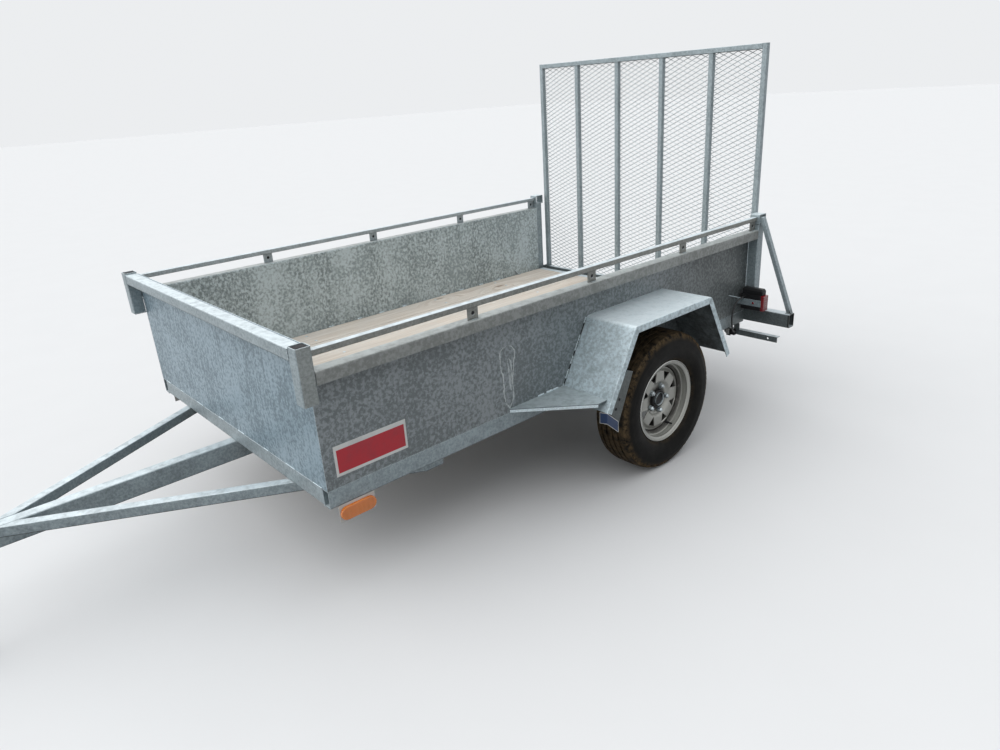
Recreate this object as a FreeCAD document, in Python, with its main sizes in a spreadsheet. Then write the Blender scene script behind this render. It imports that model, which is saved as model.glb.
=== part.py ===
"""Galvanised single-axle utility trailer with plain sheet sides and a mesh ramp gate.

Frame: +Z up, -Y towards the coupler, +X to the trailer's left, the origin on the ground
at the middle of the whole trailer's length. Millimetres.
"""
import FreeCAD, Part
import math
import os
import re

import Sketcher

SIZES = {
    # the bed
    "frame_level": 384, "bed_half": 750, "bed_front": -585, "bed_length": 2440,
    "rail_width": 38, "rail_height": 64, "rail_wall": 3, "sheet": 3, "plank": 20, "plank_gap": 3, "planks": 8,
    "lip_level": 864, "lip_width": 50, "lip_drop": 43, "cross_back": 300, "cross_rear": 412,
    # upper rails and posts
    "post_side": 50, "post_wall": 3, "post_top": 938, "post_foot": 765, "post_rise": 6, "plug": 14,
    "plug_set": 2, "front_rail_height": 41, "tie_width": 25, "tie_height": 19, "tie_top": 926,
    "stub_length": 46, "stub_plate": 5, "stub_hole": 14,
    # rear frame
    "rear_half": 996, "rear_tube_rise": 10, "rear_tube_height": 70, "brace_width": 22, "brace_tip": 13,
    "brace_top": 925, "brace_depth": 25, "latch_height": 50, "latch_length": 60, "latch_set": 2,
    # fenders
    "fender_y": 892, "fender_width": 246, "fender_top": 720, "fender_foot": 420, "fender_half": 257,
    "fender_foot_half": 427, "fender_sheet": 3, "flange": 28, "step_level": 464, "step_sheet": 4,
    "step_reach": 225, "step_length": 300, "step_tip": 50,
    # wheels
    "axle_y": 917, "wheel_radius": 303, "tyre_width": 178, "shoulder": 14, "shoulder_width": 14,
    "tyre_gap": 38, "rim_radius": 180, "rim_width": 132, "rim_lip": 10, "well_radius": 156,
    "well_slope": 14, "hub_face": 22, "disc": 5, "pilot_radius": 43,
    "vents": 8, "vent_width": 46, "vent_top": 128, "vent_foot": 88,
    "hub_radius": 36, "hub_back": 60, "hub_nose": 4, "hub_flange": 68, "hub_plate": 12,
    "nuts": 5, "nut_circle": 57.15, "nut_radius": 11, "nut_height": 18,
    # axle and springs
    "spindle_radius": 17, "bore_gap": 0.6, "beam": 50, "beam_set": 75, "beam_pad": 0.5, "spring_width": 44,
    "spring_half": 330, "spring_sag": 70, "leaf": 7, "eye_radius": 16, "eye_rise": 6, "seat_gap": 0.3,
    "hanger_plate": 5, "hanger_half": 25, "hanger_drop": 18, "hanger_bolt": 11, "bolt_head": 8,
    "ubolt": 10, "ubolt_gap": 0.5, "ubolt_tail": 16, "clamp_half": 48, "clamp_plate": 8, "clamp_edge": 1.5,
    # drawbar
    "tongue_width": 50, "tongue_height": 76, "tongue_front": -1735, "tongue_back": 140,
    "bar_side": 38, "bar_inset": 26, "bar_front_y": -1392, "bar_slope": 0.582,
    "coupler_nose": -1950.5, "coupler_half": 29, "coupler_rise": 4, "coupler_drop": 56, "coupler_back": -1640,
    "socket_radius": 39, "socket_skirt": 8, "socket_roof": 12, "ball_radius": 26,
    "latch_stem": 12, "latch_stem_length": 70, "latch_rise": 22, "latch_lever": 18, "latch_lever_length": 110,
    "latch_lever_height": 6, "latch_back": 20,
    # jack
    "jack_x": 100, "jack_y": -1560, "jack_pivot": 455, "jack_radius": 25, "jack_wall": 3,
    "jack_leg_radius": 21, "jack_collar": 30, "jack_top": 720, "jack_bottom": 260, "jack_roof": 20,
    "leg_top": 440, "foot_side": 110, "foot_plate": 6, "bracket_plate": 8, "bracket_half": 45,
    "bracket_rise": 6, "crank_drop": 40, "crank_arm": 130, "crank_rod": 6, "crank_reach": 16, "crank_bar": 6,
    "grip_radius": 10, "grip_length": 90,
    # gate
    "gate_play": 9, "gate_tube": 25, "gate_gap": 17, "gate_drop": 14, "gate_top": 1710, "gate_wall": 2,
    "gate_bays": 5,
    "pin_radius": 6, "pin_gap": 0.5, "pin_length": 24, "lug": 6, "lug_set": 8, "lug_half": 18, "lug_end": 16,
    "mesh_sheet": 3, "mesh_long": 350, "mesh_short": 180, "strand": 9,
    # lamps
    "lamp_out": 15, "lamp_length": 125, "lamp_lap": 18, "lamp_set": 65, "lamp_depth": 44, "lamp_rise": 12,
    "lamp_height": 78, "box_inset": 4, "box_depth": 36, "box_height": 30, "strap": 4, "strap_rise": 33,
    "strap_height": 33, "bar_in": 83, "bar_length": 295, "bar_back": 40, "bar_hang": 62, "bar_leg": 28,
    "bar_sheet": 3, "bar_hole": 5, "bar_pitch": 180, "bar_set": 17, "tab_width": 30, "marker_y": -558,
    "marker_length": 134, "marker_height": 62, "marker_sheet": 3, "lens_half": 66, "lens_radius": 24,
    "lens_depth": 12, "cable_radius": 4,
}


# sizes and places that follow from others
TIED = {
    "bed_back": "(bed_front + bed_length)",
    "rear_tube_foot": "(frame_level + rear_tube_rise)",
    "rear_tube_top": "(frame_level + rear_tube_rise + rear_tube_height)",
    "tyre_middle": "(bed_half + tyre_gap + tyre_width / 2)",
    "spring_x": "(bed_half - rail_width / 2)",
    "bar_back_x": "(bed_half - bar_inset)",
    "bracket_foot": "(frame_level - tongue_height + bracket_rise)",
    "gate_half": "(bed_half - gate_play)",
    "gate_front": "(bed_front + bed_length + post_side + gate_gap)",
    "gate_foot": "(frame_level + rear_tube_rise + rear_tube_height - gate_drop)",
    "lamp_x": "(bed_half + lamp_out)",
    "lamp_y": "(bed_front + bed_length - lamp_set)",
    "bar_x": "(bed_half - bar_in)",
    "bar_y": "(bed_front + bed_length - bar_back)",
    "bar_z": "(frame_level - bar_hang)",
}
# flats round a small round piece, a tube and a hub
SMALL_SIDES, TUBE_SIDES, HUB_SIDES = 12, 24, 16


def start():
    """The document and its sheet of sizes."""
    doc = FreeCAD.newDocument("utility_trailer")
    sheet = doc.addObject("Spreadsheet::Sheet", "Sizes")
    for row, (alias, size) in enumerate(SIZES.items(), start=1):
        sheet.set(f"A{row}", alias)
        sheet.set(f"B{row}", str(size))
        sheet.setAlias(f"B{row}", alias)
    doc.recompute()
    return doc


DOC = start()
WORD = re.compile(r"[a-z][a-z_]*")
NODES = {}


def spelled(text):
    """An expression with its tied names written out."""
    return WORD.sub(lambda m: TIED.get(m.group(), m.group()), str(text))


def bound(text):
    """An expression on the sheet's cells from one that uses their bare names."""
    return WORD.sub(lambda m: "Sizes." + m.group() if m.group() in SIZES else m.group(), spelled(text))


def bind(thing, **settings):
    for key, text in settings.items():
        thing.setExpression(key.replace("__", "."), bound(text))


def place(thing, x, y, z):
    bind(thing, Placement__Base__x=x, Placement__Base__y=y, Placement__Base__z=z)


def node(name, thing):
    """Names a finished piece."""
    thing.Label = name
    NODES[name] = thing
    return thing


def block(x, y, z, dx, dy, dz):
    """A box from its low corner and its three sizes."""
    thing = DOC.addObject("Part::Box", "Block")
    bind(thing, Length=dx, Width=dy, Height=dz)
    place(thing, x, y, z)
    return thing


TURNS = {"x": ((0, 1, 0), 90), "y": ((1, 0, 0), -90), "z": ((0, 0, 1), 0)}


def along(thing, axis, x, y, z):
    """Turns a piece made along Z to an axis and puts it in its place."""
    thing.Placement.Rotation = FreeCAD.Rotation(FreeCAD.Vector(*TURNS[axis][0]), TURNS[axis][1])
    place(thing, x, y, z)
    return thing


def rod(axis, x, y, z, radius, length):
    thing = DOC.addObject("Part::Cylinder", "Rod")
    bind(thing, Radius=radius, Height=length)
    return along(thing, axis, x, y, z)


def prism(axis, sides, x, y, z, radius, length):
    """A rod with flat sides: hexagon heads, and small round pieces that need no finer shape."""
    thing = DOC.addObject("Part::Prism", "Prism")
    thing.Polygon = sides
    bind(thing, Circumradius=radius, Height=length)
    return along(thing, axis, x, y, z)


def cut(base, tool):
    thing = DOC.addObject("Part::Cut", "Cut")
    thing.Base, thing.Tool = base, tool
    return thing


def fuse(*shapes):
    thing = DOC.addObject("Part::MultiFuse", "Fuse")
    thing.Shapes = list(shapes)
    return thing


def group(*shapes):
    """Like pieces that share a node without touching."""
    thing = DOC.addObject("Part::Compound", "Group")
    thing.Links = list(shapes)
    return thing


def square_tube(along, x, y, z, dx, dy, dz, wall):
    """A rectangular tube with open ends."""
    low = {"x": x, "y": y, "z": z}
    size = {"x": dx, "y": dy, "z": dz}
    bore_low = {a: low[a] if a == along else f"{low[a]} + {wall}" for a in low}
    bore_size = {a: size[a] if a == along else f"{size[a]} - 2 * {wall}" for a in size}
    return cut(block(x, y, z, dx, dy, dz), block(*bore_low.values(), *bore_size.values()))


def mirrored(thing):
    """The same piece on the trailer's right side."""
    twin = DOC.addObject("Part::Mirroring", "Twin")
    twin.Source = thing
    twin.Normal = (1, 0, 0)
    return twin


def both(name, thing):
    """A piece and its twin, each a node."""
    node(f"{name}_left", thing)
    node(f"{name}_right", mirrored(thing))


def pair(name, thing):
    """A piece and its twin in one node."""
    node(name, group(thing, mirrored(thing)))


PLANES = {"XY_Plane": ("x", "y"), "XZ_Plane": ("x", "z"), "YZ_Plane": ("y", "z")}


def sketch_on(body, plane, points):
    """A closed outline on one of the body's planes, each corner bound by its two distances."""
    sketch = body.newObject("Sketcher::SketchObject", "Outline")
    sketch.AttachmentSupport = [(next(f for f in body.Origin.OriginFeatures if f.Role == plane), "")]
    sketch.MapMode = "FlatFace"
    guesses = [tuple(value(text) for text in point) for point in points]
    count = len(points)
    for i in range(count):
        a, b = guesses[i], guesses[(i + 1) % count]
        sketch.addGeometry(Part.LineSegment(FreeCAD.Vector(*a, 0), FreeCAD.Vector(*b, 0)))
    for i in range(count):
        sketch.addConstraint(Sketcher.Constraint("Coincident", i, 2, (i + 1) % count, 1))
    for i, point in enumerate(points):
        for kind, text, guess in zip(("DistanceX", "DistanceY"), point, guesses[i]):
            index = sketch.addConstraint(Sketcher.Constraint(kind, -1, 1, i, 1, guess))
            sketch.setExpression(f"Constraints[{index}]", bound(text))
    return sketch


def value(text):
    """The number that an expression on the sheet's names comes to."""
    sheet = DOC.getObject("Sizes")
    sheet.set("D1", f"={spelled(text)}")
    sheet.recompute()
    return float(sheet.get("D1"))


def pad(body, plane, points, length):
    feature = body.newObject("PartDesign::Pad", "Pad")
    feature.Profile = sketch_on(body, plane, points)
    bind(feature, Length=length)
    return feature


def extrusion(plane, points, length, x=0, y=0, z=0):
    """A body with one padded outline."""
    body = DOC.addObject("PartDesign::Body", "Extrusion")
    pad(body, plane, points, length)
    place(body, x, y, z)
    return body


def turned(points):
    """A body turned about the X axis from an outline of (x, radius) corners."""
    body = DOC.addObject("PartDesign::Body", "Turned")
    feature = body.newObject("PartDesign::Revolution", "Revolution")
    feature.Profile = sketch_on(body, "XY_Plane", points)
    feature.ReferenceAxis = (next(f for f in body.Origin.OriginFeatures if f.Role == "X_Axis"), [""])
    feature.Angle = 360
    return body


def bed():
    """The frame under the floor, the floor's planks and the folded sheet sides."""
    length = "bed_length"
    pair("side_rails", square_tube("y", "bed_half - rail_width", "bed_front", "frame_level",
                                  "rail_width", length, "rail_height", "rail_wall"))
    cross = [square_tube("x", "-bed_half + rail_width", f"bed_front + {back}", "frame_level",
                         "2 * (bed_half - rail_width)", "rail_width", "rail_height", "rail_wall")
             for back in ("0", "tongue_back - bed_front - rail_width", "bed_length / 2 + cross_back",
                          "bed_length - cross_rear - rail_width")]
    node("cross_members", group(*cross))
    pitch = "((2 * (bed_half - sheet) - plank_gap) / planks)"
    planks = [block(f"-bed_half + sheet + plank_gap + {i} * {pitch}", "bed_front + sheet + plank_gap",
                    "frame_level + rail_height", f"{pitch} - plank_gap",
                    "bed_length - sheet - 2 * plank_gap", "plank") for i in range(SIZES["planks"])]
    node("floor_planks", group(*planks))
    out, fold = "bed_half + lip_width", "lip_level - lip_drop"
    side = extrusion("XZ_Plane", [
        ("bed_half - sheet", "frame_level + rail_height"), ("bed_half", "frame_level + rail_height"),
        ("bed_half", "lip_level - sheet"), (f"{out} - sheet", "lip_level - sheet"),
        (f"{out} - sheet", fold), (out, fold), (out, "lip_level"), ("bed_half - sheet", "lip_level")],
        length, 0, "bed_back", 0)
    pair("side_panels", side)
    node("front_panel", block("-bed_half + sheet", "bed_front", "frame_level + rail_height",
                              "2 * (bed_half - sheet)", "sheet", "post_top - frame_level - rail_height"))


def upper_rails():
    """Corner posts, the front rail and the tie-down rails on their drilled stubs."""
    post_front = "bed_front - post_side"
    rim = "(post_top + post_rise)"
    pair("front_posts", square_tube("z", "bed_half", post_front, "post_foot",
                                   "post_side", "post_side", f"{rim} - post_foot", "post_wall"))
    pair("post_caps", block("bed_half + post_wall", f"{post_front} + post_wall", f"{rim} - plug_set - plug",
                            "post_side - 2 * post_wall", "post_side - 2 * post_wall", "plug"))
    node("front_rail", square_tube("x", "-bed_half", post_front, "post_top - front_rail_height",
                                   "2 * bed_half", "post_side", "front_rail_height", "post_wall"))
    tie_low = "tie_top - tie_height"
    tie_x = "bed_half + post_side / 2 - tie_width / 2"
    rail = block(tie_x, "bed_front", tie_low, "tie_width", "bed_length", "tie_height")
    stubs = []
    for middle in ("bed_length / 4", "bed_length / 2", "bed_length * 3 / 4", "bed_length - stub_length / 2"):
        stub = block("bed_half + post_side / 2", f"bed_front + {middle} - stub_length / 2", "lip_level",
                     "stub_plate", "stub_length", f"{tie_low} - lip_level")
        hole = prism("x", SMALL_SIDES, "bed_half", f"bed_front + {middle}", f"(lip_level + {tie_low}) / 2",
                     "stub_hole / 2", "post_side")
        stubs.append(cut(stub, hole))
    pair("tie_rails", fuse(rail, *stubs))


def rear_frame():
    """The rear tube, its posts, braces and the blocks that take the ramp's pins."""
    back, tube_top = "bed_back", "rear_tube_top"
    node("rear_tube", square_tube("x", "-rear_half", back, "rear_tube_foot",
                                  "2 * rear_half", "post_side", "rear_tube_height", "post_wall"))
    post_end = "(post_top - latch_height)"
    pair("rear_posts", square_tube("z", "bed_half", back, tube_top, "post_side", "post_side",
                                  f"{post_end} - {tube_top}", "post_wall"))
    pair("latch_blocks", square_tube("x", "bed_half", f"{back} + latch_set", post_end,
                                    "post_side", "latch_length", "latch_height", "post_wall"))
    out = "(bed_half + post_side)"
    slope = f"((rear_half - {out} - brace_tip) / (brace_top - {tube_top}))"
    brace = extrusion("XZ_Plane", [
        ("rear_half - brace_width", tube_top), ("rear_half", tube_top),
        (f"{out} + brace_tip", "brace_top"), (out, "brace_top"),
        (out, f"brace_top - (brace_width - brace_tip) / {slope}")],
        "brace_depth", 0, f"{back} + brace_depth + (post_side - brace_depth) / 2", 0)
    pair("rear_braces", brace)


def fender_outline(inset, foot):
    """Half-profile corners of a fender at a distance inside its outer face."""
    run = "((fender_foot_half - fender_half) / (fender_top - fender_foot))"
    slant = f"({inset} * (sqrt(1 + {run} * {run}) - {run}))"
    top = f"(fender_half - {slant})"
    drop = f"(fender_top - {inset} - {foot})"
    return [(f"fender_y - {top} - {drop} * {run}", foot), (f"fender_y - {top}", f"fender_top - {inset}"),
            (f"fender_y + {top}", f"fender_top - {inset}"), (f"fender_y + {top} + {drop} * {run}", foot)]


def fenders():
    """Sheet fenders of three flats with a turned-down flange, and the steps ahead of them."""
    outer = fender_outline("0", "fender_foot")
    inner = fender_outline("fender_sheet", "fender_foot")
    skin = outer + inner[::-1]
    hem = outer + fender_outline("flange", "fender_foot")[::-1]
    body = DOC.addObject("PartDesign::Body", "Fender")
    pad(body, "YZ_Plane", skin, "fender_width")
    lip = DOC.addObject("PartDesign::Body", "Flange")
    pad(lip, "YZ_Plane", hem, "fender_sheet")
    place(body, "bed_half", 0, 0)
    place(lip, "bed_half + fender_width - fender_sheet", 0, 0)
    both("fender", fuse(body, lip))
    run = "((fender_foot_half - fender_half) / (fender_top - fender_foot))"
    meet = f"fender_y - fender_foot_half + (step_level - step_sheet - fender_foot) * {run}"
    step = extrusion("XY_Plane", [
        ("bed_half", f"{meet} - step_length"), ("bed_half + step_reach", f"{meet} - step_tip"),
        ("bed_half + step_reach", meet), ("bed_half", meet)],
        "step_sheet", 0, 0, "step_level - step_sheet")
    pair("fender_steps", step)


def wheels():
    """Tyres, vented rims with their sloping wells, and hubs with their nuts."""
    half, crown = "tyre_width / 2", "tyre_width / 2 - shoulder_width"
    side = [(half, "rim_radius"), (half, "wheel_radius - shoulder"), (crown, "wheel_radius")]
    tyre = turned([(f"-({x})", r) for x, r in side] + side[::-1])
    place(tyre, "tyre_middle", "axle_y", "wheel_radius")
    both("tyre", tyre)
    edge, back = "rim_width / 2", "(hub_face - disc)"
    rim = turned([
        (f"-({edge})", "rim_radius"), (f"-({edge})", "well_radius"), (back, "well_radius"),
        (back, "pilot_radius"), ("hub_face", "pilot_radius"), ("hub_face", "well_radius"),
        (f"{edge} - well_slope", "well_radius"), (edge, "rim_radius - rim_lip"), (edge, "rim_radius")])
    vent = rim.newObject("PartDesign::Pocket", "Vent")
    vent.Profile = sketch_on(rim, "YZ_Plane", [("-vent_width / 2", "vent_top"), ("0", "vent_foot"),
                                               ("vent_width / 2", "vent_top")])
    vent.Midplane = True
    bind(vent, Length="tyre_width")
    DOC.recompute()
    vents = rim.newObject("PartDesign::PolarPattern", "Vents")
    vents.Originals = [vent]
    vents.Axis = (next(f for f in rim.Origin.OriginFeatures if f.Role == "X_Axis"), [""])
    vents.Angle = 360
    bind(vents, Occurrences="vents")
    rim.Tip = vents
    place(rim, "tyre_middle", "axle_y", "wheel_radius")
    both("rim", rim)
    barrel = prism("x", HUB_SIDES, "tyre_middle - hub_back", "axle_y", "wheel_radius",
                   "hub_radius", "hub_back + hub_face + hub_nose")
    flange = prism("x", 10, f"tyre_middle + {back} - hub_plate", "axle_y", "wheel_radius",
                   "hub_flange", "hub_plate")
    bore = prism("x", HUB_SIDES, "tyre_middle - hub_back", "axle_y", "wheel_radius",
                 f"(spindle_radius + bore_gap) / cos(180 / {HUB_SIDES})", "hub_back + hub_face")
    nuts = []
    for i in range(SIZES["nuts"]):
        angle = f"({i} * 360 / nuts + 18)"
        nuts.append(prism("x", 6, "tyre_middle + hub_face", f"axle_y + nut_circle * sin({angle})",
                          f"wheel_radius + nut_circle * cos({angle})", "nut_radius", "nut_height"))
    both("hub", group(cut(fuse(barrel, flange), bore), *nuts))


# each leaf's share of the main leaf's length
LEAVES = (1, 0.72, 0.44)


def axle():
    """The axle beam on leaf springs slung under it, with their hangers, seats and U-bolts."""
    beam_end = "(tyre_middle - beam_set)"
    beam = block(f"-{beam_end}", "axle_y - beam / 2", "wheel_radius - beam / 2",
                 f"2 * {beam_end}", "beam", "beam")
    spindle = prism("x", SMALL_SIDES, beam_end, "axle_y", "wheel_radius",
                    "spindle_radius", "beam_set + hub_face - bore_gap")
    node("axle", fuse(beam, spindle, mirrored(spindle)))
    seat = "(wheel_radius - beam / 2 - beam_pad)"
    bend = "((spring_half * spring_half + spring_sag * spring_sag) / (2 * spring_sag))"
    low = "spring_x - spring_width / 2"
    stack = f"{len(LEAVES)} * leaf"
    leaves = []
    for order, share in enumerate(LEAVES):
        outer, inner = (rod("x", low, "axle_y", f"{seat} + {bend}", f"{bend} + {count} * leaf", "spring_width")
                        for count in (order + 1, order))
        ring = cut(outer, inner)
        window = block(low, f"axle_y - spring_half * {share}", f"{seat} - {stack}",
                       "spring_width", f"2 * spring_half * {share}", f"spring_sag + {stack}")
        leaf = DOC.addObject("Part::Common", "Leaf")
        leaf.Base, leaf.Tool = ring, window
        leaves.append(leaf)
    eye = f"({seat} + spring_sag + eye_rise)"
    eyes = [prism("x", SMALL_SIDES, low, f"axle_y + {side} * spring_half", eye, "eye_radius", "spring_width")
            for side in (-1, 1)]
    pair("leaf_springs", fuse(*leaves, *eyes))
    hangers = []
    near, far = f"{low} - seat_gap - hanger_plate", f"{low} + spring_width + seat_gap"
    for side in (-1, 1):
        y = f"axle_y + {side} * spring_half"
        plates = [block(x, f"{y} - hanger_half", f"{eye} - hanger_drop", "hanger_plate", "2 * hanger_half",
                        f"frame_level - ({eye} - hanger_drop)") for x in (near, far)]
        cap = block(near, f"{y} - hanger_half", "frame_level - hanger_plate",
                    "spring_width + 2 * (seat_gap + hanger_plate)", "2 * hanger_half", "hanger_plate")
        heads = [prism("x", 6, x, y, eye, "hanger_bolt", "bolt_head")
                 for x in (f"{near} - bolt_head", f"{far} + hanger_plate")]
        hangers.append(fuse(cap, *plates, *heads))
    pair("spring_hangers", group(*hangers))
    under = f"({seat} - {stack})"
    edge = "(ubolt_gap + ubolt + clamp_edge)"
    plate = block(f"{low} - {edge}", "axle_y - clamp_half", f"{under} - clamp_plate",
                  f"spring_width + 2 * {edge}", "2 * clamp_half", "clamp_plate")
    tail, crest = f"({under} - clamp_plate - ubolt_tail)", "(wheel_radius + beam / 2)"
    bolts = []
    for x in (f"{low} - ubolt_gap - ubolt", f"{low} + spring_width + ubolt_gap"):
        outer = block(x, "axle_y - beam / 2 - ubolt", tail, "ubolt", "beam + 2 * ubolt",
                      f"{crest} + ubolt - {tail}")
        bolts.append(cut(outer, block(x, "axle_y - beam / 2", tail, "ubolt", "beam", f"{crest} - {tail}")))
    pair("axle_clamps", fuse(plate, *bolts))


def drawbar():
    """The deep middle tongue and the two side bars that run back under the bed."""
    node("tongue", square_tube("y", "-tongue_width / 2", "tongue_front", "frame_level - tongue_height",
                               "tongue_width", "tongue_back - tongue_front", "tongue_height", "rail_wall"))
    run = "(bar_back_x - tongue_width / 2) / bar_slope"
    wide = "(bar_side * sqrt(1 + bar_slope * bar_slope) / bar_slope)"
    bar = extrusion("XY_Plane", [
        ("tongue_width / 2", "bar_front_y"), ("bar_back_x", f"bar_front_y + {run}"),
        ("bar_back_x", f"bar_front_y + {run} + {wide}"), ("tongue_width / 2", f"bar_front_y + {wide}")],
        "bar_side", 0, 0, "frame_level - bar_side")
    pair("drawbar_sides", bar)


def gate():
    """The ramp gate, hinged along its foot behind the rear tube."""
    high = "gate_top - gate_foot"
    pair("gate_posts", square_tube("z", "gate_half - gate_tube", "gate_front", "gate_foot",
                                  "gate_tube", "gate_tube", high, "gate_wall"))
    inner = "gate_half - gate_tube"
    rails = [square_tube("x", f"-({inner})", "gate_front", low, f"2 * ({inner})", "gate_tube", "gate_tube",
                         "gate_wall") for low in ("gate_foot", "gate_top - gate_tube")]
    node("gate_rails", group(*rails))
    ribs = []
    for i in range(1, SIZES["gate_bays"]):
        x = f"-gate_half + {i} * 2 * gate_half / gate_bays - gate_tube / 2"
        ribs.append(square_tube("z", x, "gate_front", "gate_foot + gate_tube", "gate_tube", "gate_tube",
                                f"{high} - 2 * gate_tube", "gate_wall"))
    node("gate_ribs", group(*ribs))
    middle = "gate_front + gate_tube / 2"
    level = "gate_foot + gate_tube / 2"
    pair("gate_pins", rod("x", "gate_half", middle, level, "pin_radius", "pin_length"))
    back = "bed_back + post_side"
    lug = block("gate_half + lug_set", back, f"{level} - lug_half", "lug", f"{middle} + lug_end - ({back})",
                "2 * lug_half")
    hole = prism("x", SMALL_SIDES, "gate_half", middle, level, "pin_radius + pin_gap", "2 * pin_length")
    pair("gate_lugs", cut(lug, hole))


def coupler():
    """The ball coupler over the tongue's front end, with its latch lever."""
    top = "(frame_level + coupler_rise)"
    middle = "(coupler_nose + socket_radius)"
    low = "(frame_level - coupler_drop)"
    outer = block("-coupler_half", middle, low, "2 * coupler_half", f"coupler_back - {middle}",
                  f"{top} - {low}")
    nose = prism("z", TUBE_SIDES, 0, middle, f"{low} - socket_skirt", "socket_radius",
                 f"{top} - {low} + socket_skirt")
    channel = block("-tongue_width / 2", "tongue_front", low, "tongue_width", "coupler_back - tongue_front",
                    "coupler_drop")
    socket = rod("z", 0, middle, f"{low} - socket_skirt", "ball_radius",
                 f"{top} - socket_roof - ({low} - socket_skirt)")
    node("coupler", cut(fuse(outer, nose), fuse(channel, socket)))
    stem = block("-latch_stem / 2", f"{middle} + latch_back", top, "latch_stem", "latch_stem_length",
                 "latch_rise")
    lever = block("-latch_lever / 2", f"{middle} + latch_back", f"{top} + latch_rise", "latch_lever",
                  "latch_lever_length", "latch_lever_height")
    node("coupler_latch", fuse(stem, lever))


def jack():
    """The swivel jack on the tongue's left side: bracket, housing, leg with foot, and crank."""
    node("jack_bracket", block("tongue_width / 2", "jack_y - bracket_half", "bracket_foot", "bracket_plate",
                               "2 * bracket_half", "jack_pivot + bracket_half - bracket_foot"))
    face = "(tongue_width / 2 + bracket_plate + seat_gap)"
    collar = rod("x", face, "jack_y", "jack_pivot", "jack_collar", f"jack_x - {face}")
    tube = prism("z", TUBE_SIDES, "jack_x", "jack_y", "jack_bottom", "jack_radius", "jack_top - jack_bottom")
    bore = prism("z", TUBE_SIDES, "jack_x", "jack_y", "jack_bottom", "jack_radius - jack_wall",
                 "jack_top - jack_bottom - jack_roof")
    node("jack_housing", cut(fuse(collar, tube), bore))
    node("jack_leg", fuse(prism("z", TUBE_SIDES, "jack_x", "jack_y", 0, "jack_leg_radius", "leg_top"),
                          block("jack_x - foot_side / 2", "jack_y - foot_side / 2", 0,
                                "foot_side", "foot_side", "foot_plate")))
    start = "(jack_x + jack_radius + seat_gap)"
    level = "(jack_top - crank_drop)"
    shaft = rod("x", start, "jack_y", level, "crank_rod", "crank_reach + crank_bar")
    arm = block(f"{start} + crank_reach", "jack_y - grip_radius", f"{level} - crank_arm - grip_radius",
                "crank_bar", "2 * grip_radius", "crank_arm + 2 * grip_radius")
    grip = prism("x", SMALL_SIDES, f"{start} + crank_reach + crank_bar", "jack_y", f"{level} - crank_arm",
                 "grip_radius", "grip_length")
    node("jack_crank", fuse(shaft, arm, grip))


def gate_mesh():
    """The ramp's expanded-metal sheet: diamonds cut from a plate that laps the frame's back."""
    half = value("gate_half - gate_tube")
    foot = value("gate_foot + gate_tube")
    high = value("gate_top - gate_tube") - foot
    lap, thick, strand = SIZES["gate_tube"] / 2, SIZES["mesh_sheet"], SIZES["strand"]
    columns = round(2 * half / SIZES["mesh_long"])
    rows = round(high / SIZES["mesh_short"])
    step_x, step_z = 2 * half / columns, high / rows
    y = value("gate_front + gate_tube")
    sheet = Part.makeBox(2 * (half + lap), thick, high + 2 * lap, FreeCAD.Vector(-half - lap, y, foot - lap))
    window = Part.makeBox(2 * half, thick, high, FreeCAD.Vector(-half, y, foot))
    a = step_x / 2 - strand * math.hypot(step_x, step_z) / step_z / 2
    b = step_z / 2 - strand * math.hypot(step_x, step_z) / step_x / 2
    around = ((-a, 0), (0, -b), (a, 0), (0, b), (-a, 0))
    holes = []
    for i in range(2 * columns + 1):
        for j in range(i % 2, 2 * rows + 1, 2):
            x, z = -half + i * step_x / 2, foot + j * step_z / 2
            corners = [FreeCAD.Vector(x + dx, y, z + dz) for dx, dz in around]
            diamond = Part.Face(Part.makePolygon(corners))
            holes.append(diamond.extrude(FreeCAD.Vector(0, thick, 0)))
    mesh = DOC.addObject("Part::Feature", "Mesh")
    mesh.Shape = sheet.cut(window.common(Part.makeCompound(holes)))
    node("gate_mesh", mesh)


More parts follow.
